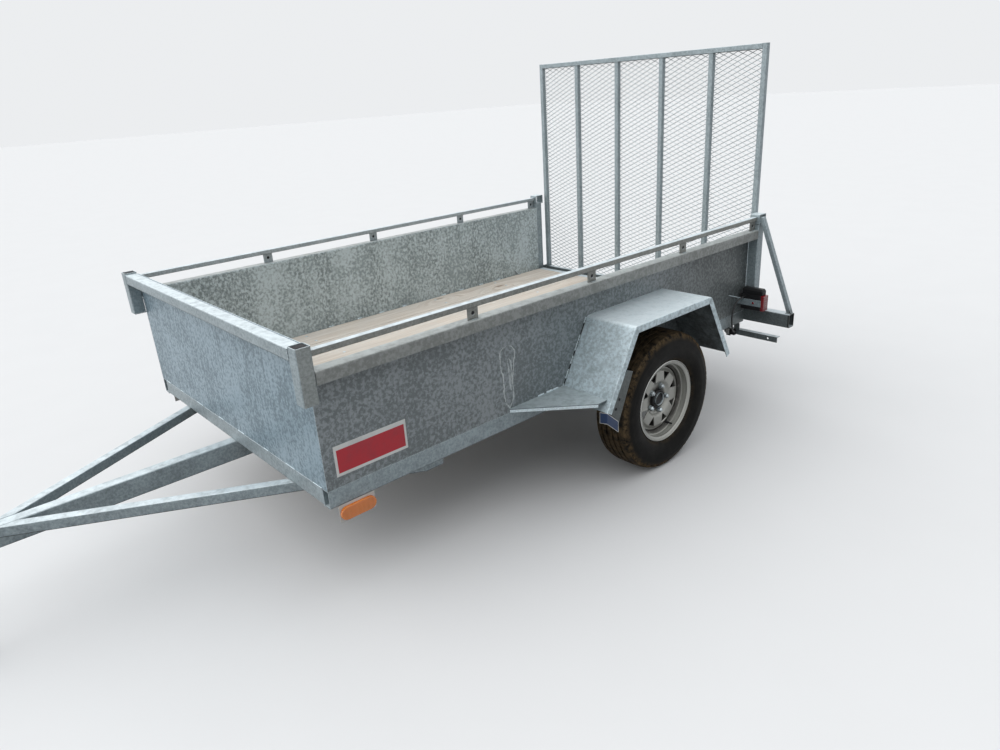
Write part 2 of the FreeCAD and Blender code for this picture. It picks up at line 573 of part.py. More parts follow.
def lamps():
    """Tail lamps on their straps, the drilled bars below them and the side markers."""
    half = "lamp_depth / 2"
    length = "lamp_length - lamp_lap"
    foot = "rear_tube_top + lamp_rise"
    pair("tail_lamp_bodies", block("lamp_x", "lamp_y", foot, length, half, "lamp_height"))
    lens = extrusion("XY_Plane", [
        ("lamp_x", f"lamp_y + {half}"), (f"lamp_x + {length}", f"lamp_y + {half}"),
        (f"lamp_x + {length}", "lamp_y"), ("lamp_x + lamp_length", "lamp_y"),
        ("lamp_x + lamp_length", "lamp_y + lamp_depth"), ("lamp_x", "lamp_y + lamp_depth")],
        "lamp_height", 0, 0, foot)
    pair("tail_lamp_lenses", lens)
    pair("tail_lamp_boxes", block("lamp_x + box_inset", "lamp_y + box_inset", f"{foot} + lamp_height",
                                  "lamp_length - 4 * box_inset", "box_depth", "box_height"))
    pair("lamp_straps", block("bed_half", "lamp_y - strap", "rear_tube_top + strap_rise",
                              "lamp_length", "strap", "strap_height"))
    front = block("bar_x", "bar_y", "bar_z", "bar_length", "bar_sheet", "bar_leg")
    shelf = block("bar_x", "bar_y", "bar_z + bar_leg - bar_sheet", "bar_length", "bar_leg", "bar_sheet")
    hole_x = "bed_half - bar_set"
    tab = block(f"{hole_x} - tab_width / 3", "bar_y", "bar_z", "tab_width", "bar_sheet",
                "frame_level - bar_z")
    holes = [rod("y", x, "bar_y", "bar_z + bar_leg / 2", "bar_hole", "bar_sheet")
             for x in (hole_x, f"{hole_x} + bar_pitch")]
    pair("lamp_bars", cut(fuse(front, shelf, tab), fuse(*holes)))
    level = "(frame_level - marker_height / 2)"
    hung = block("bed_half - marker_sheet", "marker_y", "frame_level - marker_height", "marker_sheet",
                 "marker_length", "marker_height")
    seat = block("bed_half - tab_width", "marker_y", "frame_level - marker_sheet",
                 "tab_width", "marker_length", "marker_sheet")
    pair("marker_brackets", fuse(hung, seat))
    middle, reach = "(marker_y + marker_length / 2)", "(lens_half - lens_radius)"
    ends = [prism("x", HUB_SIDES, "bed_half", f"{middle} + {side} * {reach}", level, "lens_radius",
                  "lens_depth") for side in (-1, 1)]
    bar = block("bed_half", f"{middle} - {reach}", f"{level} - lens_radius", "lens_depth", f"2 * {reach}",
                "2 * lens_radius")
    pair("marker_lenses", fuse(*ends, bar))


# the lead's route from the lamp's front down to the drilled bar: each corner's distance outside
# the bed, behind its back and above the frame's foot
CABLE = [(36, -65, 158), (34, -103, 156), (20, -133, 121), (16, -143, 66), (14, -133, 11), (2, -93, -36),
         (-14, -43, -46)]
# the flats round the lead
CABLE_SIDES = 6


def cables():
    """The lamps' leads: straight runs joined by tangent arcs."""
    origin = FreeCAD.Vector(value("bed_half"), value("bed_back"), value("frame_level"))
    points = [origin + FreeCAD.Vector(*corner) for corner in CABLE]
    edges = []
    last = points[0]
    for before, corner, after in zip(points, points[1:], points[2:]):
        inward, outward = (before - corner).normalize(), (after - corner).normalize()
        reach = 0.45 * min((corner - before).Length, (after - corner).Length)
        turn = math.pi - inward.getAngle(outward)
        radius = reach / math.tan(turn / 2)
        enter, leave = corner + inward * reach, corner + outward * reach
        centre = corner + (inward + outward).normalize() * math.hypot(radius, reach)
        top = centre + (corner - centre).normalize() * radius
        edges += [Part.LineSegment(last, enter).toShape(), Part.Arc(enter, top, leave).toShape()]
        last = leave
        print(f"cable radius {radius:.1f}")
    edges.append(Part.LineSegment(last, points[-1]).toShape())
    path = Part.Wire(edges)
    turns = [2 * math.pi * i / CABLE_SIDES for i in range(CABLE_SIDES + 1)]
    radius = SIZES["cable_radius"]
    corners = [FreeCAD.Vector(radius * math.cos(t), 0, radius * math.sin(t)) for t in turns]
    ring = Part.makePolygon([points[0] + corner for corner in corners])
    lead = DOC.addObject("Part::Feature", "Lead")
    lead.Shape = path.makePipeShell([ring], True, True)
    section = Part.Face(ring).Area
    print(f"cable length {path.Length:.1f} volume ratio {lead.Shape.Volume / (section * path.Length):.4f}")
    pair("lamp_leads", lead)


bed()
upper_rails()
rear_frame()
fenders()
wheels()
axle()
drawbar()
coupler()
jack()
gate()
gate_mesh()
lamps()
cables()
DOC.recompute()

for thing in DOC.Objects:
    if {"Invalid", "Error"} & set(thing.State):
        raise RuntimeError(f"{thing.Name} failed")
for name, thing in NODES.items():
    if thing.Shape.isNull() or not thing.Shape.isValid():
        raise RuntimeError(f"{name} has no sound shape")

os.makedirs("parts", exist_ok=True)
for name, thing in NODES.items():
    thing.Shape.exportStep(f"parts/{name}.step")
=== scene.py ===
"""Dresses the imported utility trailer: finished pieces, materials, floor, lamps and camera.

Metres, +Z up, -Y towards the coupler, +X to the trailer's left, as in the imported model.
"""
import math

import bmesh
import bpy
from bmesh.types import BMEdge, BMFace, BMVert
from bpy.props import FloatProperty, FloatVectorProperty, IntProperty, PointerProperty
from mathutils import Matrix, Vector


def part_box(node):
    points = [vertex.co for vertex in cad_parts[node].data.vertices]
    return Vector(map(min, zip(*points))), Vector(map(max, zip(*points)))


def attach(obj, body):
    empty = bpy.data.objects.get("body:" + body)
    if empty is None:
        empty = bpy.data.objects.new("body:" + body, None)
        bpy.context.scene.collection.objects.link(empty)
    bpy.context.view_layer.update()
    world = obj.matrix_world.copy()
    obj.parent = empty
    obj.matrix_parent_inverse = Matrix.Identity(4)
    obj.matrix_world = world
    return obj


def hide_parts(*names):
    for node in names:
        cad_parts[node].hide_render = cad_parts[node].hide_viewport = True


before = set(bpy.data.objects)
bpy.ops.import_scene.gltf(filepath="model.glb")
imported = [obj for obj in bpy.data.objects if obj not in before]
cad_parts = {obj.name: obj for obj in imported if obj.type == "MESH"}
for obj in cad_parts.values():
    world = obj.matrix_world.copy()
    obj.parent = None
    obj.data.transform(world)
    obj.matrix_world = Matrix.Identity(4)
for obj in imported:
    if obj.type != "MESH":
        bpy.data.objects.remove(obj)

bl_info = {
    "name": "Utility trailer",
    "version": (1, 0, 0),
    "blender": (4, 5, 0),
    "location": "3D View > Sidebar > Trailer",
    "description": "Dresses a packed utility trailer with finished pieces and materials",
    "category": "Object",
}

AXES = {"X": Vector((1, 0, 0)), "Y": Vector((0, 1, 0)), "Z": Vector((0, 0, 1))}
TURNS = {
    "X": Matrix.Rotation(math.radians(90), 4, "Y"),
    "Y": Matrix.Rotation(math.radians(-90), 4, "X"),
    "Z": Matrix.Identity(4),
}
ORIGIN = (0, 0, 0)
MERGE = 1e-5
FLAT = math.radians(0.5)
SMOOTH = math.radians(50)
SHEET = 0.003   # thickness of the folded sheets


# sizes and colours

def metres(name, description, default):
    return FloatProperty(name=name, description=description, default=default, unit="LENGTH")


def paint(name, description, default):
    return FloatVectorProperty(name=name, description=description, default=default, subtype="COLOR",
                               min=0, max=1)


class TrailerSizes(bpy.types.PropertyGroup):
    """Sizes of the finish that a user would change."""
    tube_corner: metres("Tube corner", "Outer corner radius of the square tubes", 0.005)
    fold: metres("Fold", "Outer radius of the sheet's folds", 0.006)
    plank_edge: metres("Plank edge", "Rounding of the boards' edges", 0.002)
    weld: metres("Weld", "Radius of a weld bead", 0.003)
    mesh_long: metres("Mesh length", "Long pitch of the ramp's diamonds", 0.0512)
    mesh_short: metres("Mesh height", "Short pitch of the ramp's diamonds", 0.0233)
    strand: metres("Strand", "Width of the mesh's strands", 0.0029)
    tread_depth: metres("Tread depth", "Depth of the tread's grooves", 0.007)
    tread_blocks: IntProperty(name="Tread blocks", description="Blocks round the tyre's shoulder", default=72)
    lead: metres("Lead", "Diameter of the lamps' leads", 0.008)


class TrailerColours(bpy.types.PropertyGroup):
    """Colours of the finishes that a user would change."""
    zinc_dark: paint("Zinc, dark", "Dark spangle of the galvanising", (0.225, 0.255, 0.265))
    zinc_light: paint("Zinc, light", "Light spangle of the galvanising", (0.42, 0.465, 0.485))
    # sky-facing zinc: partly bleaching, partly painted top light
    bleached: paint("Bleached zinc", "Galvanising on faces that look at the sky", (0.70, 0.78, 0.81))
    board: paint("Board", "Faces of the weathered boards", (0.79, 0.75, 0.69))
    grain: paint("Grain", "Grain lines of the boards", (0.53, 0.46, 0.385))
    rubber: paint("Rubber", "Tyres", (0.0050, 0.0048, 0.0044))
    dust: paint("Dust", "Dry dust on the tread and in the corners", (0.150, 0.105, 0.058))
    wheel: paint("Wheel", "Painted rims", (0.37, 0.37, 0.34))
    red: paint("Red", "Tail lamp lenses", (0.20, 0.003, 0.008))
    amber: paint("Amber", "Side marker lenses", (0.80, 0.19, 0.012))
    black: paint("Black", "Plastic and painted black pieces", (0.012, 0.012, 0.013))


# shapes

def whole(bm):
    return bm.verts[:] + bm.edges[:] + bm.faces[:]


def only(kind, geom):
    return [part for part in geom if isinstance(part, kind)]


def rounded(bm, edges, radius, segments=2):
    """Bevels some edges of a shape."""
    edges = list(edges)
    if edges and radius:
        bmesh.ops.bevel(bm, geom=edges, offset=radius, affect="EDGES", segments=segments, profile=0.5,
                        material=-1, clamp_overlap=True)
    return bm


def corners_of(bm, angle):
    """Edges that stand out by more than an angle in degrees."""
    return [e for e in bm.edges
            if e.is_manifold and e.is_convex and e.calc_face_angle() > math.radians(angle)]


def folds_of(bm):
    """Edges inside a sheet."""
    return [e for e in bm.edges if len(e.link_faces) == 2]


def thickened(bm, thick):
    bmesh.ops.solidify(bm, geom=bm.faces[:], thickness=thick)
    return bm


def moved(bm, step):
    bmesh.ops.translate(bm, vec=step, verts=bm.verts)
    return bm


def turned(bm, degrees, axis, geom=None):
    """A shape, or a part of it, turned about an axis through the origin."""
    bmesh.ops.rotate(bm, cent=ORIGIN, matrix=Matrix.Rotation(math.radians(degrees), 3, axis),
                     verts=only(BMVert, geom or bm.verts))
    return bm


def mirrored(bm, geom=None):
    """A shape, or a part of it, as its mirror image on the trailer's other side."""
    geom = geom or whole(bm)
    bmesh.ops.scale(bm, vec=(-1, 1, 1), verts=only(BMVert, geom))
    bmesh.ops.reverse_faces(bm, faces=only(BMFace, geom))
    return bm


def twin(bm):
    """Adds the right side's mirror image to a shape."""
    return mirrored(bm, bmesh.ops.duplicate(bm, geom=whole(bm))["geom"])


def facing(bm, front):
    """A sheet with its faces looking in a direction."""
    bmesh.ops.recalc_face_normals(bm, faces=bm.faces)
    bm.normal_update()
    if sum((f.normal * f.calc_area() for f in bm.faces), Vector()).dot(Vector(front)) < 0:
        bmesh.ops.reverse_faces(bm, faces=bm.faces)
    return bm


def block(low, high, radius=0, segments=2, along=None):
    """A block between two corners, rounded on all its edges or on those along an axis."""
    low, high = Vector(low), Vector(high)
    bm = bmesh.new()
    place = Matrix.Translation((low + high) / 2) @ Matrix.Diagonal((*(high - low), 1))
    bmesh.ops.create_cube(bm, size=1, matrix=place)
    edges = bm.edges
    if along:
        edges = [e for e in edges
                 if abs((e.verts[0].co - e.verts[1].co).normalized().dot(AXES[along])) > 0.999]
    return rounded(bm, edges, radius, segments)


def tube(low, high, axis, wall, radius):
    """A rectangular tube with rounded corners and open ends."""
    bm = block(low, high, radius, 3, axis)
    bm.normal_update()
    ends = [f for f in bm.faces if abs(f.normal.dot(AXES[axis])) > 0.9]
    bmesh.ops.delete(bm, geom=ends, context="FACES")
    return thickened(bm, wall)


def rod(start, axis, radius, length, sides=24, top=None, edge=0, segments=1):
    """A round bar from its low end's centre along an axis; top is the radius of its far end."""
    bm = bmesh.new()
    place = Matrix.Translation(Vector(start) + AXES[axis] * length / 2) @ TURNS[axis]
    bmesh.ops.create_cone(bm, cap_ends=True, cap_tris=False, segments=sides, radius1=radius,
                          radius2=radius if top is None else top, depth=length, matrix=place)
    return rounded(bm, [e for e in bm.edges if any(len(f.verts) > 4 for f in e.link_faces)], edge, segments)


def dome(centre, axis, radius, height, sides=12):
    """The rounded head of a bolt, standing on a plane."""
    bm = bmesh.new()
    bmesh.ops.create_uvsphere(bm, u_segments=sides, v_segments=8, radius=1)
    bmesh.ops.bisect_plane(bm, geom=whole(bm), dist=MERGE, plane_co=ORIGIN, plane_no=(0, 0, -1),
                           clear_outer=True)
    place = Matrix.Translation(Vector(centre)) @ TURNS[axis] @ Matrix.Diagonal((radius, radius, height, 1))
    bmesh.ops.transform(bm, matrix=place, verts=bm.verts)
    return bm


def chain(points, closed=False):
    """A line of edges through some points."""
    bm = bmesh.new()
    verts = [bm.verts.new(point) for point in points]
    for a, b in zip(verts, verts[1:] + verts[:1] if closed else verts[1:]):
        bm.edges.new((a, b))
    return bm


def lathe(profile, centre, steps=32, closed=True):
    """A full turn about X of a line of (along, radius) points."""
    bm = chain([(x, 0, r) for x, r in profile], closed)
    bmesh.ops.spin(bm, geom=bm.verts[:] + bm.edges[:], cent=ORIGIN, axis=(1, 0, 0), dvec=ORIGIN,
                   angle=math.tau, steps=steps, use_merge=True)
    bmesh.ops.remove_doubles(bm, verts=bm.verts, dist=MERGE)
    bmesh.ops.recalc_face_normals(bm, faces=bm.faces)
    return moved(bm, centre)


def pulled(points, step, front, radius=0, segments=4):
    """A sheet without thickness, pulled out of a line of points, its folds rounded."""
    bm = chain(points)
    made = bmesh.ops.extrude_edge_only(bm, edges=bm.edges[:])["geom"]
    bmesh.ops.translate(bm, vec=step, verts=only(BMVert, made))
    facing(bm, front)
    return rounded(bm, folds_of(bm), radius, segments)


def joined(*parts):
    """One shape from several."""
    bm = bmesh.new()
    for part in parts:
        mesh = bpy.data.meshes.new("part")
        part.to_mesh(mesh)
        part.free()
        bm.from_mesh(mesh)
        bpy.data.meshes.remove(mesh)
    return bm


def merged(node):
    """A copy of a CAD node's mesh with its triangles joined and its flats whole."""
    bm = bmesh.new()
    bm.from_mesh(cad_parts[node].data)
    bmesh.ops.remove_doubles(bm, verts=bm.verts, dist=MERGE)
    bmesh.ops.dissolve_limit(bm, angle_limit=FLAT, verts=bm.verts, edges=bm.edges)
    return bm


def solids(node):
    """The lowest and highest corners of each separate solid of a CAD node, the left side's last."""
    bm = merged(node)
    left, boxes = set(bm.verts), []
    while left:
        reach, seen = [left.pop()], []
        while reach:
            vert = reach.pop()
            seen.append(vert.co.copy())
            for edge in vert.link_edges:
                other = edge.other_vert(vert)
                if other in left:
                    left.discard(other)
                    reach.append(other)
        boxes.append(tuple(Vector([pick(c[i] for c in seen) for i in range(3)]) for pick in (min, max)))
    bm.free()
    return sorted(boxes, key=lambda pair: tuple(pair[0]))


def points_where(node, index, value):
    """A CAD node's points that reach a value along X, Y or Z, given by its index."""
    return [v.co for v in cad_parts[node].data.vertices if v.co[index] > value - MERGE]


def bead(start, end, radius):
    """A weld bead: overlapping drops along a joint."""
    start, end = Vector(start), Vector(end)
    count = max(2, round((end - start).length / (1.5 * radius)))
    drops = bmesh.new()
    for i in range(count + 1):
        swell = 1 + 0.18 * math.sin(i * 2.4)
        bmesh.ops.create_icosphere(drops, subdivisions=1, radius=radius * swell,
                                   matrix=Matrix.Translation(start.lerp(end, i / count)))
    return drops


def stick(start, end, radius):
    """A short round rod between two points, with domed ends."""
    start, end = Vector(start), Vector(end)
    bm = rod(ORIGIN, "Z", radius, (end - start).length, 12, edge=radius * 0.4, segments=2)
    turn = (end - start).to_track_quat("Z", "Y").to_matrix().to_4x4()
    bmesh.ops.transform(bm, matrix=Matrix.Translation(start) @ turn, verts=bm.verts)
    return bm


def piece(name, bm, finish, node=None, body="chassis"):
    """A finished piece: its shape, its material, the node it stands for and the body it moves with."""
    mesh = bpy.data.meshes.new(name)
    bm.to_mesh(mesh)
    bm.free()
    for layer in ("custom_normal", "sharp_edge", "sharp_face"):
        if layer in mesh.attributes:
            mesh.attributes.remove(mesh.attributes[layer])
    mesh.materials.clear()
    mesh.materials.append(material(finish))
    skyward = mesh.attributes.new("skyward", "FLOAT", "FACE")
    skyward.data.foreach_set("value", [polygon.normal.z for polygon in mesh.polygons])
    mesh.polygons.foreach_set("use_smooth", [True] * len(mesh.polygons))
    mesh.set_sharp_from_angle(angle=SMOOTH)
    thing = bpy.data.objects.new(name, mesh)
    bpy.context.scene.collection.objects.link(thing)
    thing.modifiers.new("Weighted normals", "WEIGHTED_NORMAL").keep_sharp = True
    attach(thing, body)
    if node:
        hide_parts(node)


# materials

COLOUR, VALUE, VECTOR = "NodeSocketColor", "NodeSocketFloat", "NodeSocketVector"
EFFECTS = {}
MADE = {}


class Field:
    """A value, vector or colour in a shader tree, with the nodes that change it."""

    def __init__(self, tree, socket):
        self.tree = tree
        self.socket = socket

    def node(self, kind, inputs, output=0, **settings):
        return Field(self.tree, put(self.tree, kind, inputs, **settings).outputs[output])

    def maths(self, operation, other=0.0, clamp=False):
        return self.node("Math", {0: self, 1: other}, operation=operation, use_clamp=clamp)

    def __add__(self, other):
        return self.maths("ADD", other)

    def __sub__(self, other):
        return self.maths("SUBTRACT", other)

    def __rsub__(self, other):
        return self.node("Math", {0: other, 1: self}, operation="SUBTRACT")

    def __mul__(self, other):
        return self.maths("MULTIPLY", other)

    def __abs__(self):
        return self.maths("ABSOLUTE")

    def plus(self, other):
        """A sum held between nought and one."""
        return self.maths("ADD", other, clamp=True)

    def most(self, other):
        return self.maths("MAXIMUM", other)

    def rise(self, low, high, to_low=0.0, to_high=1.0):
        """Carried from one range to another and held there."""
        return self.node("MapRange", {0: self, 1: low, 2: high, 3: to_low, 4: to_high}, clamp=True)

    def fall(self, low, high):
        return self.rise(low, high, 1.0, 0.0)

    def between(self, low, full, last, high):
        """A mask that rises from low to full and falls from last to high."""
        return self.rise(low, full) * self.fall(last, high)

    def mix(self, under, over, mode="MIX"):
        """One colour laid over another by this share."""
        return self.node("Mix", {0: self, 6: under, 7: over}, 2, data_type="RGBA", blend_type=mode)

    def stretched(self, scale, location=ORIGIN):
        return self.node("Mapping", {"Vector": self, "Location": location, "Scale": scale})

    def cloud(self, scale=1.0, detail=4.0, rough=0.5, warp=0.0):
        return self.node("TexNoise", {"Vector": self, "Scale": scale, "Detail": detail, "Roughness": rough,
                                      "Distortion": warp})

    def parts(self):
        """The three numbers of a vector, each as a field."""
        return [Field(self.tree, socket) for socket in put(self.tree, "SeparateXYZ", {0: self}).outputs]


def feed(tree, socket, value):
    """Links a field or another socket to a socket, or sets the socket's constant."""
    value = getattr(value, "socket", value)
    if isinstance(value, bpy.types.NodeSocket):
        tree.links.new(value, socket)
    elif socket.type == "RGBA" and len(value) == 3:
        socket.default_value = (*value, 1)
    else:
        socket.default_value = value


def put(tree, kind, inputs=None, **settings):
    """A node with its settings, and its inputs linked or set."""
    node = tree.nodes.new("ShaderNode" + kind)
    for key, setting in settings.items():
        setattr(node, key, setting)
    for key, value in (inputs or {}).items():
        feed(tree, node.inputs[key], value)
    return node


def effect(name, inputs, outputs, build):
    """A shader node group; build turns its inputs' fields into its outputs' fields, both in order."""
    tree = bpy.data.node_groups.new(name, "ShaderNodeTree")
    for label, default in inputs.items():
        kind = VECTOR if default is None else VALUE if isinstance(default, float) else COLOUR
        socket = tree.interface.new_socket(label, in_out="INPUT", socket_type=kind)
        if default is not None:
            socket.default_value = default
    for label, kind in outputs.items():
        tree.interface.new_socket(label, in_out="OUTPUT", socket_type=kind)
    given = tree.nodes.new("NodeGroupInput").outputs[:len(inputs)]
    out = tree.nodes.new("NodeGroupOutput")
    for socket, value in zip(out.inputs, build(*(Field(tree, socket) for socket in given))):
        feed(tree, socket, value)
    return tree


def zinc_bloom(vector, dark, light, patch, spot, contrast, bands, streaks):
    """Mottling, spangle, streaks and fine specks of hot-dip galvanising."""
    patches = vector.cloud(patch, 5.0, 0.6, 0.3) - 0.5
    crisp = vector.cloud(spot, 3.0, 0.6, 0.25).rise(0.40, 0.60) - 0.5
    runs = vector.stretched((70, 70, 7)).cloud(1.0, 4.0, 0.65) - 0.5
    broad = vector.stretched((5, 5, 0.8)).cloud(1.0, 3.0, 0.5) - 0.5
    cells = vector.node("TexVoronoi", {"Vector": vector, "Scale": 150.0}, "Color")
    spangle = cells.node("SeparateColor", {0: cells}) - 0.5
    mixed = patches * 1.6 + crisp * 0.75 + runs * (streaks * 4.0) + broad * (bands * 4.0) + spangle * 0.22
    specks = vector.cloud(210.0, 2.0, 0.6).rise(0.62, 0.70)
    flecks = vector.stretched((135, 135, 42)).cloud(1.0, 2.0, 0.6).rise(0.57, 0.66) * streaks
    speckled = (mixed * contrast).plus(0.5).plus(specks * 0.40 + flecks)
    return speckled.mix(dark, light), speckled, crisp + runs


def weathering_and_painted_light(vector, colour, skyward, bleached, grime, grime_and_shade_colour, level):
    """Faces that look at the sky painted lighter, partly bleaching and partly painted top light; painted
    shade, broken by road dirt, on faces that look down; and grime low down.
    """
    worn = vector.cloud(32.0, 5.0, 0.6).rise(0.36, 0.58, 0.50, 0.95)
    # painted top light, partly bleaching: sky-facing faces are painted lighter in worn blotches
    bleached_and_lit_tops = (skyward.rise(0.55, 0.95) * worn).mix(colour, bleached)
    low = (level - vector.parts()[2]).rise(-0.06, 0.14)
    dirt = vector.cloud(22.0, 6.0, 0.62).rise(0.40, 0.66)
    # painted shade, broken by dirt, on faces that look down
    under = skyward.rise(-0.38, -0.20, dirt.rise(0.0, 1.0, 0.72, 0.90), 0.0)
    mask = (low * dirt * grime).most(under)
    return mask.mix(bleached_and_lit_tops, grime_and_shade_colour), mask


def fine_grain(vector, colour, worn, scale, wear):
    """The grain of moulded rubber, plastic and sprayed paint, as a worn tint, a height and a mask."""
    rubbed = vector.cloud(17.0, 6.0, 0.65).rise(0.45, 0.72)
    return (rubbed * wear).mix(colour, worn), vector.cloud(scale, 3.0, 0.6), rubbed


def effects():
    """The shared shader node groups, made once."""
    if not EFFECTS:
        EFFECTS["zinc"] = effect("Zinc bloom", {
            "Vector": None, "Dark": (0.1, 0.1, 0.1, 1), "Light": (0.4, 0.4, 0.4, 1), "Patch": 7.0,
            "Spot": 60.0, "Contrast": 1.0, "Bands": 0.0, "Streaks": 0.2},
            {"Color": COLOUR, "Bloom": VALUE, "Height": VALUE}, zinc_bloom)
        EFFECTS["rain"] = effect("Rain marks", {
            "Vector": None, "Color": (0.5, 0.5, 0.5, 1), "Skyward": 0.0, "Bleached": (0.7, 0.7, 0.7, 1),
            "Grime": 0.3, "Grime Color": (0.045, 0.042, 0.037, 1), "Level": 0.45},
            {"Color": COLOUR, "Mask": VALUE}, weathering_and_painted_light)
        EFFECTS["grain"] = effect("Fine grain", {
            "Vector": None, "Color": (0.1, 0.1, 0.1, 1), "Worn": (0.2, 0.2, 0.2, 1), "Scale": 300.0,
            "Wear": 0.3}, {"Color": COLOUR, "Height": VALUE, "Mask": VALUE}, fine_grain)
    return EFFECTS


class Coat:
    """A new material: its tree, its shader and its Object coordinates."""

    def __init__(self, name):
        self.made = bpy.data.materials.new(name)
        self.made.use_nodes = True
        self.tree = self.made.node_tree
        self.shader = self.tree.nodes["Principled BSDF"]
        self.place = Field(self.tree, put(self.tree, "TexCoord").outputs["Object"])

    def skyward(self):
        """How far a face looks at the sky, from one through nought to minus one."""
        return self.place.node("Attribute", None, "Fac", attribute_name="skyward")

    def use(self, group, **inputs):
        """The outputs of a shared effect, with its inputs linked or set."""
        node = put(self.tree, "Group", None, node_tree=effects()[group])
        for key, value in {"Vector": self.place, **inputs}.items():
            feed(self.tree, node.inputs[key], value)
        return {socket.name: Field(self.tree, socket) for socket in node.outputs}

    def set(self, **inputs):
        """Links or sets the shader's inputs; underscores stand for spaces."""
        for key, value in inputs.items():
            feed(self.tree, self.shader.inputs[key.replace("_", " ")], value)

    def raised(self, height, strength, distance=0.001):
        """Adds a bump, and gives the finished material."""
        bump = {"Strength": strength, "Distance": distance, "Height": height}
        self.set(Normal=height.node("Bump", bump))
        return self.made


def colours():
    return bpy.context.scene.trailer_colours


def galvanised(name, tone=1.0, patch=8.0, spot=110.0, contrast=0.65, bands=0.0, streaks=0.15, grime=0.25,
               level=0.45, metallic=0.25, rough=(0.50, 0.36), bump=0.2, marks=None, tint=(1, 1, 1)):
    """Hot-dip galvanising: spangle, tops painted lighter (bleaching and painted top light), painted shade
    with road dirt underneath, and grime over a dull metal.
    """
    coat = Coat(name)
    dark, light = (tuple(min(1.0, tone * share * c) for share, c in zip(tint, shade))
                   for shade in (colours().zinc_dark, colours().zinc_light))
    bloom = coat.use("zinc", Dark=dark, Light=light, Patch=patch, Spot=spot, Contrast=contrast, Bands=bands,
                     Streaks=streaks)
    rain = coat.use("rain", Color=bloom["Color"], Skyward=coat.skyward(), Bleached=colours().bleached[:],
                    Grime=grime, Level=level)
    # marks lays further marks, painted light and painted shade over the colour
    colour = marks(coat, rain["Color"]) if marks else rain["Color"]
    coat.set(Base_Color=colour, Roughness=bloom["Bloom"].rise(0.0, 1.0, *rough).plus(rain["Mask"] * 0.4),
             Metallic=metallic)
    return coat.raised(bloom["Height"], bump, 0.0006)


def side_marks_and_painted_light(coat, colour):
    """Spots inside the walls, whose inner faces are painted lighter as painted light; duller lips; painted
    shade on the rear part and painted shadow below the lip; and the scratched loop on the left side.
    """
    x, y, z = coat.place.parts()
    inside = abs(x).fall(0.7478, 0.7490)
    bunch = coat.place.stretched((6, 6, 0.9)).cloud(1.0, 3.0, 0.55).rise(0.42, 0.60)
    spots = coat.place.stretched((75, 75, 52)).cloud(1.0, 3.0, 0.6).rise(0.47, 0.57)
    # painted light: the walls' inner faces are painted about twice as light as the outer ones
    colour = inside.mix(colour, (2.05, 2.10, 2.06), "MULTIPLY")
    colour = (inside * bunch * spots * 0.62).mix(colour, (0.135, 0.160, 0.158))
    lip = z.rise(0.8195, 0.8225) * abs(x).rise(0.7515, 0.7530)
    colour = lip.mix(colour, (1.12, 1.10, 1.05), "MULTIPLY")
    colour = (lip * 0.5).mix(colour, (0.215, 0.215, 0.200))
    # painted shadow below the lip, and painted shade over the rear part of the outer faces
    under_lip_shadow = (z + coat.place.cloud(9.0) * 0.12).rise(0.80, 0.90, 0.0, 0.60)
    shade = (1.0 - inside) * (1.0 - lip) * y.rise(0.95, 1.45).most(under_lip_shadow)
    colour = shade.mix(colour, (0.60, 0.60, 0.58), "MULTIPLY")
    worn = coat.place.cloud(90.0, 4.0, 0.7).rise(0.30, 0.52)
    lines = scratch(coat.place, y, z) * worn * x.rise(0.749, 0.7497) * 0.75
    return lines.mix(colour, (0.62, 0.66, 0.66))


def scratch(place, y, z):
    """Two scratched outlines, one inside the other, each as the mask of a thin wavy line."""
    shaken = y + (place.cloud(30.0, 3.0) - 0.5) * 0.022
    lines = 0.0
    for middle, foot, top, narrow, more in ((0.1935, 0.465, 0.713, 0.0225, 0.0125),
                                            (0.2030, 0.535, 0.662, 0.0050, 0.0030)):
        near_top = z.rise(top - 0.026, top)
        half = z.rise(foot, foot + 0.035, 0.0, narrow) + z.rise(0.59, 0.65, 0.0, more)
        half = half * (1.0 - near_top * near_top).maths("SQRT")
        off = abs(abs(shaken - middle) - half)
        lines = (z.between(foot - 0.002, foot, top, top + 0.002) * off.fall(0.0016, 0.0034)).most(lines)
    return lines


def tube_marks_and_painted_shade(coat, colour):
    """Painted shade on the rear tube, drilled bars and fender straps, duller step tops, and painted shade
    with a brown cast of reflected ground on the front posts' outboard faces.
    """
    x, y, z = coat.place.parts()
    across, upright = abs(x), coat.skyward().fall(0.2, 0.5)
    # painted shade on the upright faces of the rear tube and drilled bars, and of the fender straps
    rear = upright * y.rise(1.60, 1.75) * z.fall(0.47, 0.50)
    strap = upright * across.rise(0.986, 0.989) * z.fall(0.56, 0.60)
    step = z.between(0.4585, 0.4595, 0.4645, 0.4655) * across.rise(0.7505, 0.7520) * y.fall(0.50, 0.51)
    # painted shade, browned as a painted reflection of dark ground, on the front posts' outboard faces
    post = upright * y.fall(-0.584, -0.583) * across.rise(0.798, 0.7995)
    for share, tint in ((rear, (0.48, 0.47, 0.45)), (strap, (0.30, 0.29, 0.27)), (step, (0.66, 0.68, 0.68)),
                        (post, (0.86, 0.79, 0.73))):
        colour = share.mix(colour, tint, "MULTIPLY")
    return colour


def rail_painted_reflection(coat, colour):
    """The left tie-down rail's side is painted browner and darker than the right one's: a painted reflection
    of dark ground.
    """
    share = coat.place.parts()[0].rise(-0.1, 0.1) * coat.skyward().fall(0.2, 0.5)
    return share.mix(colour, (0.62, 0.57, 0.51), "MULTIPLY")


